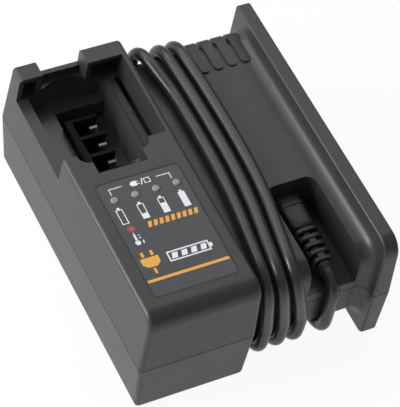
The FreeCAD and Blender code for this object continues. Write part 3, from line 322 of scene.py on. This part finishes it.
def plates(name, loops, low, high, material):
    """Thin flat plates: each loop is a list of (side, front) points, standing from low to high."""
    form = bmesh.new()
    for loop in loops:
        top = [form.verts.new(at(x, y, high)) for x, y in loop]
        base = [form.verts.new(at(x, y, low)) for x, y in loop]
        form.faces.new(top)
        form.faces.new(base[::-1])
        for index in range(len(loop)):
            after = (index + 1) % len(loop)
            form.faces.new((base[index], base[after], top[after], top[index]))
    bmesh.ops.recalc_face_normals(form, faces=form.faces)
    mesh = bpy.data.meshes.new(name)
    form.to_mesh(mesh)
    form.free()
    return mesh_object(name, mesh, material)


def bar(x0, x1, y0, y1):
    """An upright rectangle."""
    return [(x0, y0), (x1, y0), (x1, y1), (x0, y1)]


def frame_bars(x0, x1, y0, y1, line):
    """Four bars that draw a rectangle's outline."""
    return [bar(x0, x1, y0, y0 + line), bar(x0, x1, y1 - line, y1),
            bar(x0, x0 + line, y0 + line, y1 - line), bar(x1 - line, x1, y0 + line, y1 - line)]


def disc(x, y, radius, sides=28):
    """A round dot."""
    turns = [2 * math.pi * k / sides for k in range(sides)]
    return [(x + radius * math.cos(turn), y + radius * math.sin(turn)) for turn in turns]


def slanted(x0, x1, y0, y1, lean):
    """A bar whose far end leans to the right."""
    return [(x0, y0), (x1, y0), (x1 + lean, y1), (x0 + lean, y1)]


# What is printed on the control face, and the painted shade round the film, in millimetres from the side and
# from the front.
GAP_SHADE_EDGES, GAP_SHADE_BEND, GAP_SHADE_STEPS = (9.1, 51.3, 13.7, 79.7), 2.8, 6
GAP_SHADE_SHARE = 0.8
INK_SUNK = 0.02


def cell_symbol(x, share, sizes):
    """A battery symbol filled to a share of its height."""
    half, foot, line = sizes.cell_width / 2, sizes.cell_front, sizes.line
    top = foot + sizes.cell_height
    nub, nub_rise = half * 0.4, 1.1
    loops = frame_bars(x - half, x + half, foot, top, line)
    loops.append(bar(x - nub, x + nub, top, top + nub_rise))
    if share > 0:
        level = foot + line + (top - foot - 2 * line) * share
        loops.append(bar(x - half + line, x + half - line, foot + line, level))
    return loops


def brackets(line):
    """Two brackets that reach from the small symbols down to the outer lamps."""
    level, foot = 75.5, 72.4
    left, left_end, right_end, right = 14.5, 21.4, 38.6, 45.4
    return [bar(left, left_end, level, level + line), bar(left, left + line, foot, level),
            bar(right_end, right, level, level + line), bar(right - line, right, foot, level)]


def small_symbols(line):
    """A small plug and a square, with a stroke between them."""
    low, high, collar = 73.9, 76.7, 28.6
    plug = [(25.0, 75.3), (26.2, low), (collar, low), (collar, high), (26.2, high)]
    pins = [bar(collar, collar + 1.3, pin, pin + 0.4) for pin in (74.4, 75.8)]
    return [plug, *pins, slanted(30.3, 30.9, 73.6, 77.0, 1.2), *frame_bars(32.3, 35.4, 73.8, 76.8, line)]


def thermometer():
    """A bulb with its stem, two marks on its scale and a stroke beside the bulb."""
    x, bulb, neck, top, half = 15.0, 44.0, 45.0, 49.2, 0.5
    scale = [bar(16.4, 17.6, level, level + 0.4) for level in (47.6, 46.2)]
    return [disc(x, bulb, 1.35), bar(x - half, x + half, neck, top), disc(x, top, half, 16), *scale,
            slanted(17.2, 17.7, 42.9, 44.9, 0.6)]


def charge_bar():
    """A lying battery with four slanted cells."""
    right, first, cell, pitch = 45.2, 25.9, 2.8, 4.8
    nub = bar(right, right + 1.3, 31.1, 33.3)
    starts = [first + pitch * k for k in range(4)]
    cells = [slanted(start, start + cell, 30.7, 33.7, 0.9) for start in starts]
    return [*frame_bars(24.4, right, 29.4, 35.0, 0.7), nub, *cells]


def white_marks(sizes):
    """The battery symbols below the lamps, and all the other white symbols."""
    marks = brackets(sizes.line) + small_symbols(sizes.line) + thermometer() + charge_bar()
    for index in range(sizes.lamp_count):
        x = sizes.cell_first + index * sizes.lamp_pitch
        marks += cell_symbol(x, index / (sizes.lamp_count - 1), sizes)
    return marks


def gap_shade_ring(sizes):
    """The painted shade in the gap round the film: a thin dark line as short flat pieces that follow its
    rounded corners.
    """
    x0, x1, y0, y1 = GAP_SHADE_EDGES
    bend, inner = GAP_SHADE_BEND, GAP_SHADE_BEND - sizes.line * GAP_SHADE_SHARE
    ring = []
    for x, y, start in ((x1 - bend, y1 - bend, 0), (x0 + bend, y1 - bend, 90),
                        (x0 + bend, y0 + bend, 180), (x1 - bend, y0 + bend, 270)):
        ring += [(x, y, math.radians(start + 90 * k / GAP_SHADE_STEPS)) for k in range(GAP_SHADE_STEPS + 1)]
    pieces = []
    for here, after in zip(ring, ring[1:] + ring[:1]):
        corners = ((bend, here), (bend, after), (inner, after), (inner, here))
        pieces.append([(x + reach * math.cos(turn), y + reach * math.sin(turn))
                       for reach, (x, y, turn) in corners])
    return pieces


def orange_marks():
    """The row of slanted ticks, the plug symbol and the stripe."""
    first, tick, pitch = 23.2, 1.8, 2.9
    starts = [first + pitch * k for k in range(9)]
    ticks = [slanted(start, start + tick, 50.2, 53.4, 0.9) for start in starts]
    head = [(11.6, 35.0), (11.6, 31.6), (13.8, 29.6), (18.2, 29.6), (20.4, 31.6), (20.4, 35.0)]
    pins = [bar(left, left + 1.4, 35.8, 38.4) for left in (13.0, 17.6)]
    cord = bar(15.4, 16.6, 25.8, 28.8)
    stripe = bar(9.9, 50.5, 21.9, 23.4)
    return [*ticks, *pins, head, cord, stripe]


def red_marks():
    """The heat mark: a dot with small dots round it."""
    x, y, reach, count = 15.2, 52.1, 1.75, 8
    turns = [2 * math.pi * k / count for k in range(count)]
    rays = [disc(x + reach * math.cos(turn), y + reach * math.sin(turn), 0.36, 10) for turn in turns]
    return [*rays, disc(x, y, 1.15, 20)]


class CHARGER_OT_housing(bpy.types.Operator):
    """Finishes of both shells, the tub, the terminal block, the contacts, the film, the feet and the plate"""
    bl_idname = "charger.housing"
    bl_label = "Housing"

    def execute(self, context):
        colours = context.scene.charger_colours
        paint(spark_eroded_abs(colours), "upper_shell", "lower_shell", "control_board_pillars")
        paint(tub_abs_painted_light(colours), "battery_cradle")
        paint(glass_filled_pbt(colours), "terminal_block")
        paint(nickel_strip(colours), "socket_pin", *[f"contact_leaf_{k}" for k in range(1, 5)])
        paint(printed_film(colours), "control_overlay")
        paint(moulded_rubber(colours), "rubber_feet")
        paint(anodised_plate(colours), "rating_plate")
        return {"FINISHED"}


# Finishes that only the opened charger shows: name, colour, grain and its depth in mm, roughness, nodes.
HIDDEN_FINISHES = (
    ("sintered_ferrite", "#2a2a2d", 0.5, 0.03, 0.6, ("transformer_core", "choke")),
    ("polyester_tape", "#c9982c", 1.2, 0.02, 0.35, ("transformer_winding",)),
    ("can_sleeve", "#22304f", 2.0, 0.01, 0.3, ("smoothing_capacitors",)),
    ("moulded_epoxy", "#1a1a1b", 0.3, 0.02, 0.5,
     ("power_transistor", "control_chip", "board_connector", "supply_socket")),
    ("lamp_epoxy", "#d8d8d2", 0.3, 0.01, 0.3, ("status_lamps",)),
)


class CHARGER_OT_insides(bpy.types.Operator):
    """Finishes of the boards and of what they carry"""
    bl_idname = "charger.insides"
    bl_label = "Insides"

    def execute(self, context):
        colours = context.scene.charger_colours
        paint(solder_mask(colours), "main_board", "control_board")
        paint(zinc_steel(colours), "heat_sink", "board_screws", "housing_screws")
        for name, code, grain_mm, depth_mm, roughness, nodes in HIDDEN_FINISHES:
            paint(grained(name, code, grain_mm, depth_mm, roughness), *nodes)
        return {"FINISHED"}


class CHARGER_OT_print(bpy.types.Operator):
    """Prints the symbols, the ticks and the stripe on the control face, and a dark line of painted shade round
    the film
    """
    bl_idname = "charger.print"
    bl_label = "Control face print"

    def execute(self, context):
        sizes, colours = context.scene.charger_print, context.scene.charger_colours
        inks = (("white_print", white_marks(sizes), colours.white_ink),
                ("orange_print", orange_marks(), colours.orange_ink),
                ("red_print", red_marks(), colours.red_ink),
                # The last entry is painted shade of the gap round the film, laid as ink.
                ("border_print", gap_shade_ring(sizes), colours.gap_shade_ink))
        for name, loops, code in inks:
            ink = screen_ink(name + "_ink", code)
            print_piece = plates(name, loops, sizes.top - INK_SUNK, sizes.top + sizes.ink, ink)
            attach(print_piece, HOUSING)
        return {"FINISHED"}


# Light pipes, repeated along the row by nodes: radius and height from the foot to the middle of the dome.
LENS_PROFILE = ((0.0, 65.4), (2.7, 65.4), (2.7, 66.6), (1.9, 66.6), (1.9, 69.0), (1.82, 69.2), (1.6, 69.36),
                (1.2, 69.46), (0.6, 69.5), (0.0, 69.5))
LENS_STEPS = 40
ROW_INPUTS = (("Geometry", "NodeSocketGeometry"), ("Count", "NodeSocketInt"), ("Start", "NodeSocketVector"),
              ("Step", "NodeSocketVector"), ("Shrink", "NodeSocketFloat"))


def turned(name, profile, steps, material):
    """A closed solid turned about Z from (radius, height) points."""
    form = bmesh.new()
    rings = []
    for radius, high in profile:
        count = 1 if radius == 0 else steps
        rings.append([form.verts.new((radius * MM * math.cos(2 * math.pi * k / steps),
                                      radius * MM * math.sin(2 * math.pi * k / steps), high * MM))
                      for k in range(count)])
    for low, high in zip(rings, rings[1:]):
        for k in range(steps):
            after = k + 1
            corners = [low[k % len(low)], low[after % len(low)], high[after % len(high)], high[k % len(high)]]
            form.faces.new(list(dict.fromkeys(corners)))
    bmesh.ops.recalc_face_normals(form, faces=form.faces)
    for face in form.faces:
        face.smooth = True
    mesh = bpy.data.meshes.new(name)
    form.to_mesh(mesh)
    form.free()
    return mesh_object(name, mesh, material)


def row_tree(name, pattern, material):
    """Nodes that set copies of a pattern in a row, each thinner than the one before by the shrink."""
    tree = bpy.data.node_groups.new(name, "GeometryNodeTree")
    for socket, kind in ROW_INPUTS:
        tree.interface.new_socket(socket, in_out="INPUT", socket_type=kind)
    tree.interface.new_socket("Geometry", in_out="OUTPUT", socket_type="NodeSocketGeometry")
    given = add(tree, "NodeGroupInput").outputs
    line = add(tree, "GeometryNodeMeshLine", {"mode": "OFFSET"}, Count=given["Count"],
               Start_Location=given["Start"], Offset=given["Step"])
    one = add(tree, "GeometryNodeObjectInfo", Object=pattern)
    number = add(tree, "GeometryNodeInputIndex")
    less = add(tree, "ShaderNodeMath", {"operation": "MULTIPLY"}, i0=number.outputs[0], i1=given["Shrink"])
    size = add(tree, "ShaderNodeMath", {"operation": "SUBTRACT"}, i0=1.0, i1=less.outputs[0])
    scale = add(tree, "ShaderNodeCombineXYZ", X=size.outputs[0], Y=1.0, Z=size.outputs[0])
    copies = add(tree, "GeometryNodeInstanceOnPoints", Points=line.outputs[0],
                 Instance=one.outputs["Geometry"], Scale=scale.outputs[0])
    real = add(tree, "GeometryNodeRealizeInstances", Geometry=copies.outputs[0])
    dressed = add(tree, "GeometryNodeSetMaterial", Geometry=real.outputs[0], Material=material)
    add(tree, "NodeGroupOutput", Geometry=dressed.outputs[0])
    return tree


def grown(name, tree, material, **inputs):
    """The plain mesh that a tree makes with these inputs."""
    seed = mesh_object(name + "_seed", bpy.data.meshes.new(name + "_seed"), material)
    modifier = seed.modifiers.new(name, "NODES")
    modifier.node_group = tree
    for item in tree.interface.items_tree:
        if item.in_out == "INPUT" and item.name in inputs:
            modifier[item.identifier] = inputs[item.name]
    bpy.context.view_layer.update()
    evaluated = seed.evaluated_get(bpy.context.evaluated_depsgraph_get())
    mesh = bpy.data.meshes.new_from_object(evaluated)
    bpy.data.objects.remove(seed)
    return mesh_object(name, mesh, material)


class CHARGER_OT_lenses(bpy.types.Operator):
    """Sets the frosted light pipes in their row"""
    bl_idname = "charger.lenses"
    bl_label = "Status lenses"

    def execute(self, context):
        sizes, colours = context.scene.charger_print, context.scene.charger_colours
        material = frosted_lens(colours)
        pattern = turned("lens_pattern", LENS_PROFILE, LENS_STEPS, material)
        tree = row_tree("lens_row", pattern, material)
        start = at(sizes.lamp_first, sizes.lamp_front)
        lenses = grown("status_lenses", tree, material, Count=sizes.lamp_count, Start=start,
                       Step=Vector((sizes.lamp_pitch * MM, 0, 0)), Shrink=0.0)
        bpy.data.objects.remove(pattern)
        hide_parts(*[f"status_lens_{k}" for k in range(1, 5)])
        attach(lenses, HOUSING)
        return {"FINISHED"}


# The lead. Its turns are worked out by a loop; the stretches before and after them follow chosen points.
# The first pass from the side and the passes' spacing: at the back, at the front's top and at its bottom.
FIRST_PASS, PASS_PITCH = 85.8, 7.95
SHOULDER, SHOULDER_PITCH = 77.5, 7.2
LOW_PASS, LOW_PITCH = 85.2, 9.25
# How a pass bows over the top: share of the way to the front, and how far to the right.
BOW = ((0.22, 1.6), (0.44, 2.1), (0.65, 0.7))
# How far a pass bellies to the right in front, and at what share of the bridge's height.
BELLY_OUT, BELLY_SHARE = 1.4, 0.33
PLUG_END = (101.1, 14.5, 45.0)
LEAD_IN = (PLUG_END, (101.1, 5.0, 45.0), (101.1, 5.0, 27.0), (101.1, 5.0, 9.6), (99.4, 23.0, 9.6),
           (93.45, 80.6, 9.6))
TAIL_RUN = 17.0
TAIL = ((0.0, 11.0, 9.6), (0.4, 15.0, 3.1), (1.6, 14.0, 3.1), (7.5, 14.0, 3.1), (10.0, 12.0, 3.1),
        (10.5, 10.5, 3.1), (5.5, 12.0, 3.1), (0.0, 11.0, 3.1))


def between(a, b, distance):
    """The point that far from a on the way to b."""
    way = (Vector(b) - Vector(a)).normalized()
    return Vector(a) + way * distance


def winding_points(lead):
    """Control points of the turns: two beside each edge of the bridge, and the bow over the top."""
    points = [Vector(LEAD_IN[-1])]
    for turn in range(lead.turns):
        back = FIRST_PASS - PASS_PITCH * turn
        shoulder = SHOULDER - SHOULDER_PITCH * turn
        low = LOW_PASS - LOW_PITCH * turn
        under_back, over_back = (back, lead.back, lead.under), (back, lead.back, lead.over)
        over_front, under_front = (shoulder, lead.front, lead.over), (low, lead.front, lead.under)
        if turn + 1 == lead.turns:
            under_back = (back - lead.bulge, lead.back, lead.under)
            over_back = (back - lead.bulge, lead.back, lead.over + lead.stand_off)
        bows = [Vector((back + bow, lead.back + share * (lead.front - lead.back), lead.over))
                for share, bow in BOW]
        belly = Vector((low + BELLY_OUT, lead.front, lead.under + BELLY_SHARE * (lead.over - lead.under)))
        points += [between(under_back, points[-1], 2 * lead.keel), Vector(under_back),
                   between(under_back, over_back, 2 * lead.keel),
                   between(over_back, under_back, 2 * lead.crown), Vector(over_back),
                   between(over_back, bows[0], 2 * lead.crown)]
        points += bows
        points += [between(over_front, bows[-1], 2 * lead.crown), Vector(over_front),
                   between(over_front, belly, 2 * lead.crown), belly, Vector(under_front)]
        following = Vector((back - PASS_PITCH, lead.back, lead.under))
        if turn + 1 < lead.turns:
            points.append(between(under_front, following, 2 * lead.keel))
            points.append(Vector(under_front).lerp(following, 0.5))
    return points


def tail_points(start):
    """Chosen points of the lead's end: back under the bridge, down to the table and out to the right."""
    here = Vector(start) + Vector((0, TAIL_RUN, 0))
    points = [here.copy()]
    for right, on, high in TAIL:
        here = Vector((here.x + right, here.y + on, high))
        points.append(here.copy())
    return points


def spline(name, points):
    """A smooth open curve with these control points, from the side and the front in millimetres."""
    curve = bpy.data.curves.new(name, "CURVE")
    curve.dimensions = "3D"
    line = curve.splines.new("NURBS")
    line.points.add(len(points) - 1)
    for control, point in zip(line.points, points):
        control.co = (*at(*point), 1.0)
    line.order_u = 3
    line.use_endpoint_u = True
    line.resolution_u = 10
    made = bpy.data.objects.new(name, curve)
    bpy.context.scene.collection.objects.link(made)
    return made


def centre_line(curve_object):
    """Points read from the curve while it has no thickness."""
    bpy.context.view_layer.update()
    mesh = bpy.data.meshes.new_from_object(curve_object.evaluated_get(bpy.context.evaluated_depsgraph_get()))
    points = [vertex.co.copy() for vertex in mesh.vertices]
    bpy.data.meshes.remove(mesh)
    return points


def length_of(points):
    """The way along the points."""
    return sum((b - a).length for a, b in zip(points, points[1:]))


def thickened(curve_object, radius, material):
    """Gives a curve the lead's round section and closed ends."""
    curve_object.data.bevel_depth = radius * MM
    curve_object.data.bevel_resolution = 7
    curve_object.data.use_fill_caps = True
    curve_object.data.materials.append(material)


class CHARGER_OT_lead(bpy.types.Operator):
    """Winds the supply lead round the bridge and lays its end under it"""
    bl_idname = "charger.lead"
    bl_label = "Supply lead"

    def execute(self, context):
        lead, colours = context.scene.charger_lead, context.scene.charger_colours
        material = pvc_sheath(colours)
        first = spline("lead_in_line", LEAD_IN)
        path = centre_line(first)
        thickened(first, lead.radius, material)
        bpy.context.view_layer.update()
        mesh = bpy.data.meshes.new_from_object(first.evaluated_get(bpy.context.evaluated_depsgraph_get()))
        bpy.data.objects.remove(first)
        lead_in = mesh_object("lead_in", mesh, material)
        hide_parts("cord_lead_in")
        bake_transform(lead_in)
        turns = winding_points(lead)
        wound = spline("wound_lead", turns + tail_points(turns[-1]))
        whole = length_of(centre_line(wound))
        thickened(wound, lead.radius, material)
        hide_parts("cord_winding", "cord_tail")
        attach(wound, HOUSING)
        return {"FINISHED"}


# The plug's grip and relief as sections across the lead: from the front, half width, half height, squareness.
GRIP = ((57.8, 5.6, 3.6, 3.4), (57.8, 6.9, 4.9, 3.4), (55.9, 7.1, 5.1, 3.4), (55.6, 6.7, 4.7, 3.4),
        (53.5, 6.7, 4.7, 3.4), (53.2, 7.1, 5.1, 3.4), (51.6, 7.1, 5.1, 3.4), (51.2, 6.6, 4.6, 3.4),
        (44.0, 6.3, 4.7, 3.2), (41.0, 6.1, 4.6, 3.0), (39.4, 5.8, 4.4, 2.8), (38.8, 5.0, 3.8, 2.6),
        (38.8, 3.0, 2.4, 2.2))
RELIEF_CORE = ((38.8, 3.2, 3.2, 2.0), (38.0, 2.9, 2.9, 2.0), (18.4, 2.9, 2.9, 2.0), (17.4, 4.4, 4.0, 2.2),
               (16.6, 4.3, 3.9, 2.2), (14.9, 3.4, 3.4, 2.0), (14.5, 3.15, 3.15, 2.0))
RING = ((1.0, 2.7, 2.7, 2.2), (1.1, 5.8, 4.5, 2.9), (0.8, 6.2, 4.8, 2.9), (-0.8, 6.2, 4.8, 2.9),
        (-1.1, 5.8, 4.5, 2.9), (-1.0, 2.7, 2.7, 2.2))
RING_COUNT, RING_FIRST, RING_PITCH, RING_SHRINK = 5, 36.9, 4.3, 0.03
# The bars between the rings: half width and half height at the sides and at the top, and reach off the axis.
SIDE_BAR, TOP_BAR, BAR_REACH, BAR_SQUARE = (0.9, 1.3), (2.0, 0.8), (4.5, 3.3), 4.0
# The axes of plug and relief core, from the side and from the table.
PLUG_AXIS, CORE_AXIS = (101.5, 45.0), (101.3, 45.0)
SHARP = math.radians(38)


def sleeve(name, sections, material, centre=PLUG_AXIS, steps=48):
    """A closed solid through superellipse sections that stand across the lead's way."""
    form = bmesh.new()
    rings = []
    for front, wide, high, square in sections:
        ring = []
        for k in range(steps):
            turn = 2 * math.pi * k / steps
            c, s = math.cos(turn), math.sin(turn)
            x = wide * math.copysign(abs(c) ** (2 / square), c)
            z = high * math.copysign(abs(s) ** (2 / square), s)
            ring.append(form.verts.new(at(centre[0] + x, front, centre[1] + z)))
        rings.append(ring)
    for near_ring, far_ring in zip(rings, rings[1:]):
        for k in range(steps):
            after = (k + 1) % steps
            form.faces.new((near_ring[k], near_ring[after], far_ring[after], far_ring[k]))
    form.faces.new(rings[0])
    form.faces.new(rings[-1][::-1])
    bmesh.ops.recalc_face_normals(form, faces=form.faces)
    for face in form.faces:
        face.smooth = True
    mesh = bpy.data.meshes.new(name)
    form.to_mesh(mesh)
    form.free()
    made = mesh_object(name, mesh, material)
    mesh.set_sharp_from_angle(angle=SHARP)
    return made


def merged(name, parts, material):
    """One mesh of several pieces."""
    form = bmesh.new()
    for part in parts:
        form.from_mesh(part.data)
        bpy.data.objects.remove(part)
    mesh = bpy.data.meshes.new(name)
    form.to_mesh(mesh)
    form.free()
    made = mesh_object(name, mesh, material)
    mesh.set_sharp_from_angle(angle=SHARP)
    return made


def relief_rings(material):
    """The relief's rings, each a little smaller than the one before, set along the lead by nodes."""
    pattern = sleeve("ring_pattern", [(front + HALF_LENGTH, *rest) for front, *rest in RING], material,
                     centre=(HALF_WIDTH, 0.0))
    tree = row_tree("relief_rings", pattern, material)
    side_place, high = PLUG_AXIS
    rings = grown("relief_ring_row", tree, material, Count=RING_COUNT, Start=at(side_place, RING_FIRST, high),
                  Step=Vector((0, -RING_PITCH * MM, 0)), Shrink=RING_SHRINK)
    bpy.data.objects.remove(pattern)
    return rings


def relief_bars(material):
    """Short bars that tie each ring to the next, by turns at the sides and at the top and bottom."""
    bars = []
    for gap in range(RING_COUNT - 1):
        start = RING_FIRST - RING_PITCH * gap
        shrink = 1 - RING_SHRINK * (gap + 0.5)
        at_sides = gap % 2 == 0
        wide, high = SIDE_BAR if at_sides else TOP_BAR
        for way in (1, -1):
            x = PLUG_AXIS[0] + way * at_sides * BAR_REACH[0] * shrink
            z = PLUG_AXIS[1] + way * (not at_sides) * BAR_REACH[1] * shrink
            ends = [(front, wide, high, BAR_SQUARE) for front in (start, start - RING_PITCH)]
            bars.append(sleeve("bar", ends, material, (x, z), steps=16))
    return bars


class CHARGER_OT_plug(bpy.types.Operator):
    """The supply plug with its open, ringed strain relief, and the finish of the connector at the far end"""
    bl_idname = "charger.plug"
    bl_label = "Plug and connector"

    def execute(self, context):
        colours = context.scene.charger_colours
        overmould = pvc_overmould(colours)
        body = sleeve("plug_grip", GRIP, overmould)
        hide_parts("supply_plug")
        core = sleeve("relief_core", RELIEF_CORE, overmould, centre=CORE_AXIS)
        relief = merged("plug_relief", [core, relief_rings(overmould)] + relief_bars(overmould), overmould)
        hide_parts("plug_strain_relief")
        for piece in (body, relief):
            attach(piece, PLUG)
        paint(overmould, "end_connector")
        paint(bpy.data.materials["nickel_plated_strip"], "plug_barrel", "end_connector_barrel")
        return {"FINISHED"}


# The stage in metres: each lamp's place and size, and what all lamps aim at. The floor is in millimetres.
LAMPS = (("key", (-0.85, 0.2, 0.42), 0.5), ("rear", (-0.3, 0.75, 0.8), 0.5),
         ("sheen", (0.45, 0.62, 0.9), 0.6))
AIM = Vector((0, 0, 0.03))
FLOOR_REACH, FLOOR_GAUGE, FLOOR_TOP = 4000, 2.0, -0.02
PAPER_WHITE = 0.93


def lamp(name, place, size, power):
    """A square soft lamp that aims at the charger."""
    light = bpy.data.lights.new(name, "AREA")
    light.size = size
    light.energy = power
    made = bpy.data.objects.new(name, light)
    bpy.context.scene.collection.objects.link(made)
    made.location = place
    made.rotation_euler = (AIM - Vector(place)).to_track_quat("-Z", "Y").to_euler()


def paper_floor():
    """Seamless white paper that stays white in view and in reflections, with a faint shadow."""
    material, tree, shader, _ = blank("seamless_white_paper")
    shader.inputs["Base Color"].default_value = linear("#f4f4f2")
    shader.inputs["Roughness"].default_value = 0.9
    ray = add(tree, "ShaderNodeLightPath")
    seen = add(tree, "ShaderNodeMath", {"operation": "MAXIMUM"}, i0=ray.outputs["Is Camera Ray"],
               i1=ray.outputs["Is Glossy Ray"])
    most = add(tree, "ShaderNodeMath", {"operation": "MULTIPLY"}, i0=seen.outputs[0], i1=PAPER_WHITE)
    glow = add(tree, "ShaderNodeEmission", Color=(1, 1, 1, 1), Strength=1.0)
    both = add(tree, "ShaderNodeMixShader", i0=most.outputs[0], i1=shader.outputs[0], i2=glow.outputs[0])
    output = next(node for node in tree.nodes if node.type == "OUTPUT_MATERIAL")
    tree.links.new(both.outputs[0], output.inputs["Surface"])
    return material


def studio_world(strength):
    """Even white surroundings that show as plain white."""
    world = bpy.data.worlds.new("studio")
    world.use_nodes = True
    tree = world.node_tree
    tree.nodes.clear()
    ray = add(tree, "ShaderNodeLightPath")
    light = add(tree, "ShaderNodeBackground", Color=(1, 1, 1, 1), Strength=strength)
    white = add(tree, "ShaderNodeBackground", Color=(1, 1, 1, 1), Strength=1.0)
    both = add(tree, "ShaderNodeMixShader", i0=ray.outputs["Is Camera Ray"], i1=light.outputs[0],
               i2=white.outputs[0])
    add(tree, "ShaderNodeOutputWorld", Surface=both.outputs[0])
    bpy.context.scene.world = world


def camera_axes(stage):
    """The camera's right, up and back directions from its azimuth, elevation and roll."""
    turn, rise, roll = (math.radians(v) for v in (stage.azimuth, stage.elevation, stage.roll))
    back = Vector((math.sin(turn) * math.cos(rise), -math.cos(turn) * math.cos(rise), math.sin(rise)))
    level = Vector((0, 0, 1)).cross(back).normalized()
    up = back.cross(level)
    right = level * math.cos(roll) + up * math.sin(roll)
    return right, up * math.cos(roll) - level * math.sin(roll), back


class CHARGER_OT_stage(bpy.types.Operator):
    """Camera, lamps, surroundings and the paper floor"""
    bl_idname = "charger.stage"
    bl_label = "Stage"

    def execute(self, context):
        stage, scene = context.scene.charger_stage, context.scene
        camera = bpy.data.objects.new("camera", bpy.data.cameras.new("camera"))
        scene.collection.objects.link(camera)
        camera.data.lens = stage.lens
        camera.data.sensor_width = 36.0
        camera.data.clip_end = 20.0
        right, up, back = camera_axes(stage)
        matrix = camera.matrix_world
        for row in range(3):
            matrix[row][0], matrix[row][1], matrix[row][2] = right[row], up[row], back[row]
            matrix[row][3] = stage.camera[row]
        camera.matrix_world = matrix
        scene.camera = camera
        studio_world(stage.sky)
        for name, place, size in LAMPS:
            lamp(name, place, size, getattr(stage, name))
        reach = bar(-FLOOR_REACH, FLOOR_REACH, -FLOOR_REACH, FLOOR_REACH)
        floor = plates("floor", [reach], -FLOOR_GAUGE, FLOOR_TOP, paper_floor())
        scene.view_settings.view_transform = "Standard"
        return {"FINISHED"}


class CHARGER_PT_panel(bpy.types.Panel):
    """Lists the charger's pieces in the sidebar"""
    bl_label = "Battery charger"
    bl_idname = "CHARGER_PT_panel"
    bl_space_type = "VIEW_3D"
    bl_region_type = "UI"
    bl_category = "Charger"

    def draw(self, context):
        for operator in OPERATORS:
            self.layout.operator(operator.bl_idname)


OPERATORS = (CHARGER_OT_stage, CHARGER_OT_housing, CHARGER_OT_insides, CHARGER_OT_plug, CHARGER_OT_lead,
             CHARGER_OT_lenses, CHARGER_OT_print)


def register():
    for group in GROUPS.values():
        bpy.utils.register_class(group)
    for name, group in GROUPS.items():
        setattr(bpy.types.Scene, name, PointerProperty(type=group))
    for entry in OPERATORS + (CHARGER_PT_panel,):
        bpy.utils.register_class(entry)


def unregister():
    for entry in reversed(OPERATORS + (CHARGER_PT_panel,)):
        bpy.utils.unregister_class(entry)
    for name in GROUPS:
        delattr(bpy.types.Scene, name)
    for group in reversed(list(GROUPS.values())):
        bpy.utils.unregister_class(group)


def main():
    register()
    for operator in OPERATORS:
        getattr(bpy.ops.charger, operator.bl_idname.split(".")[1])()


if __name__ == "__main__":
    main()
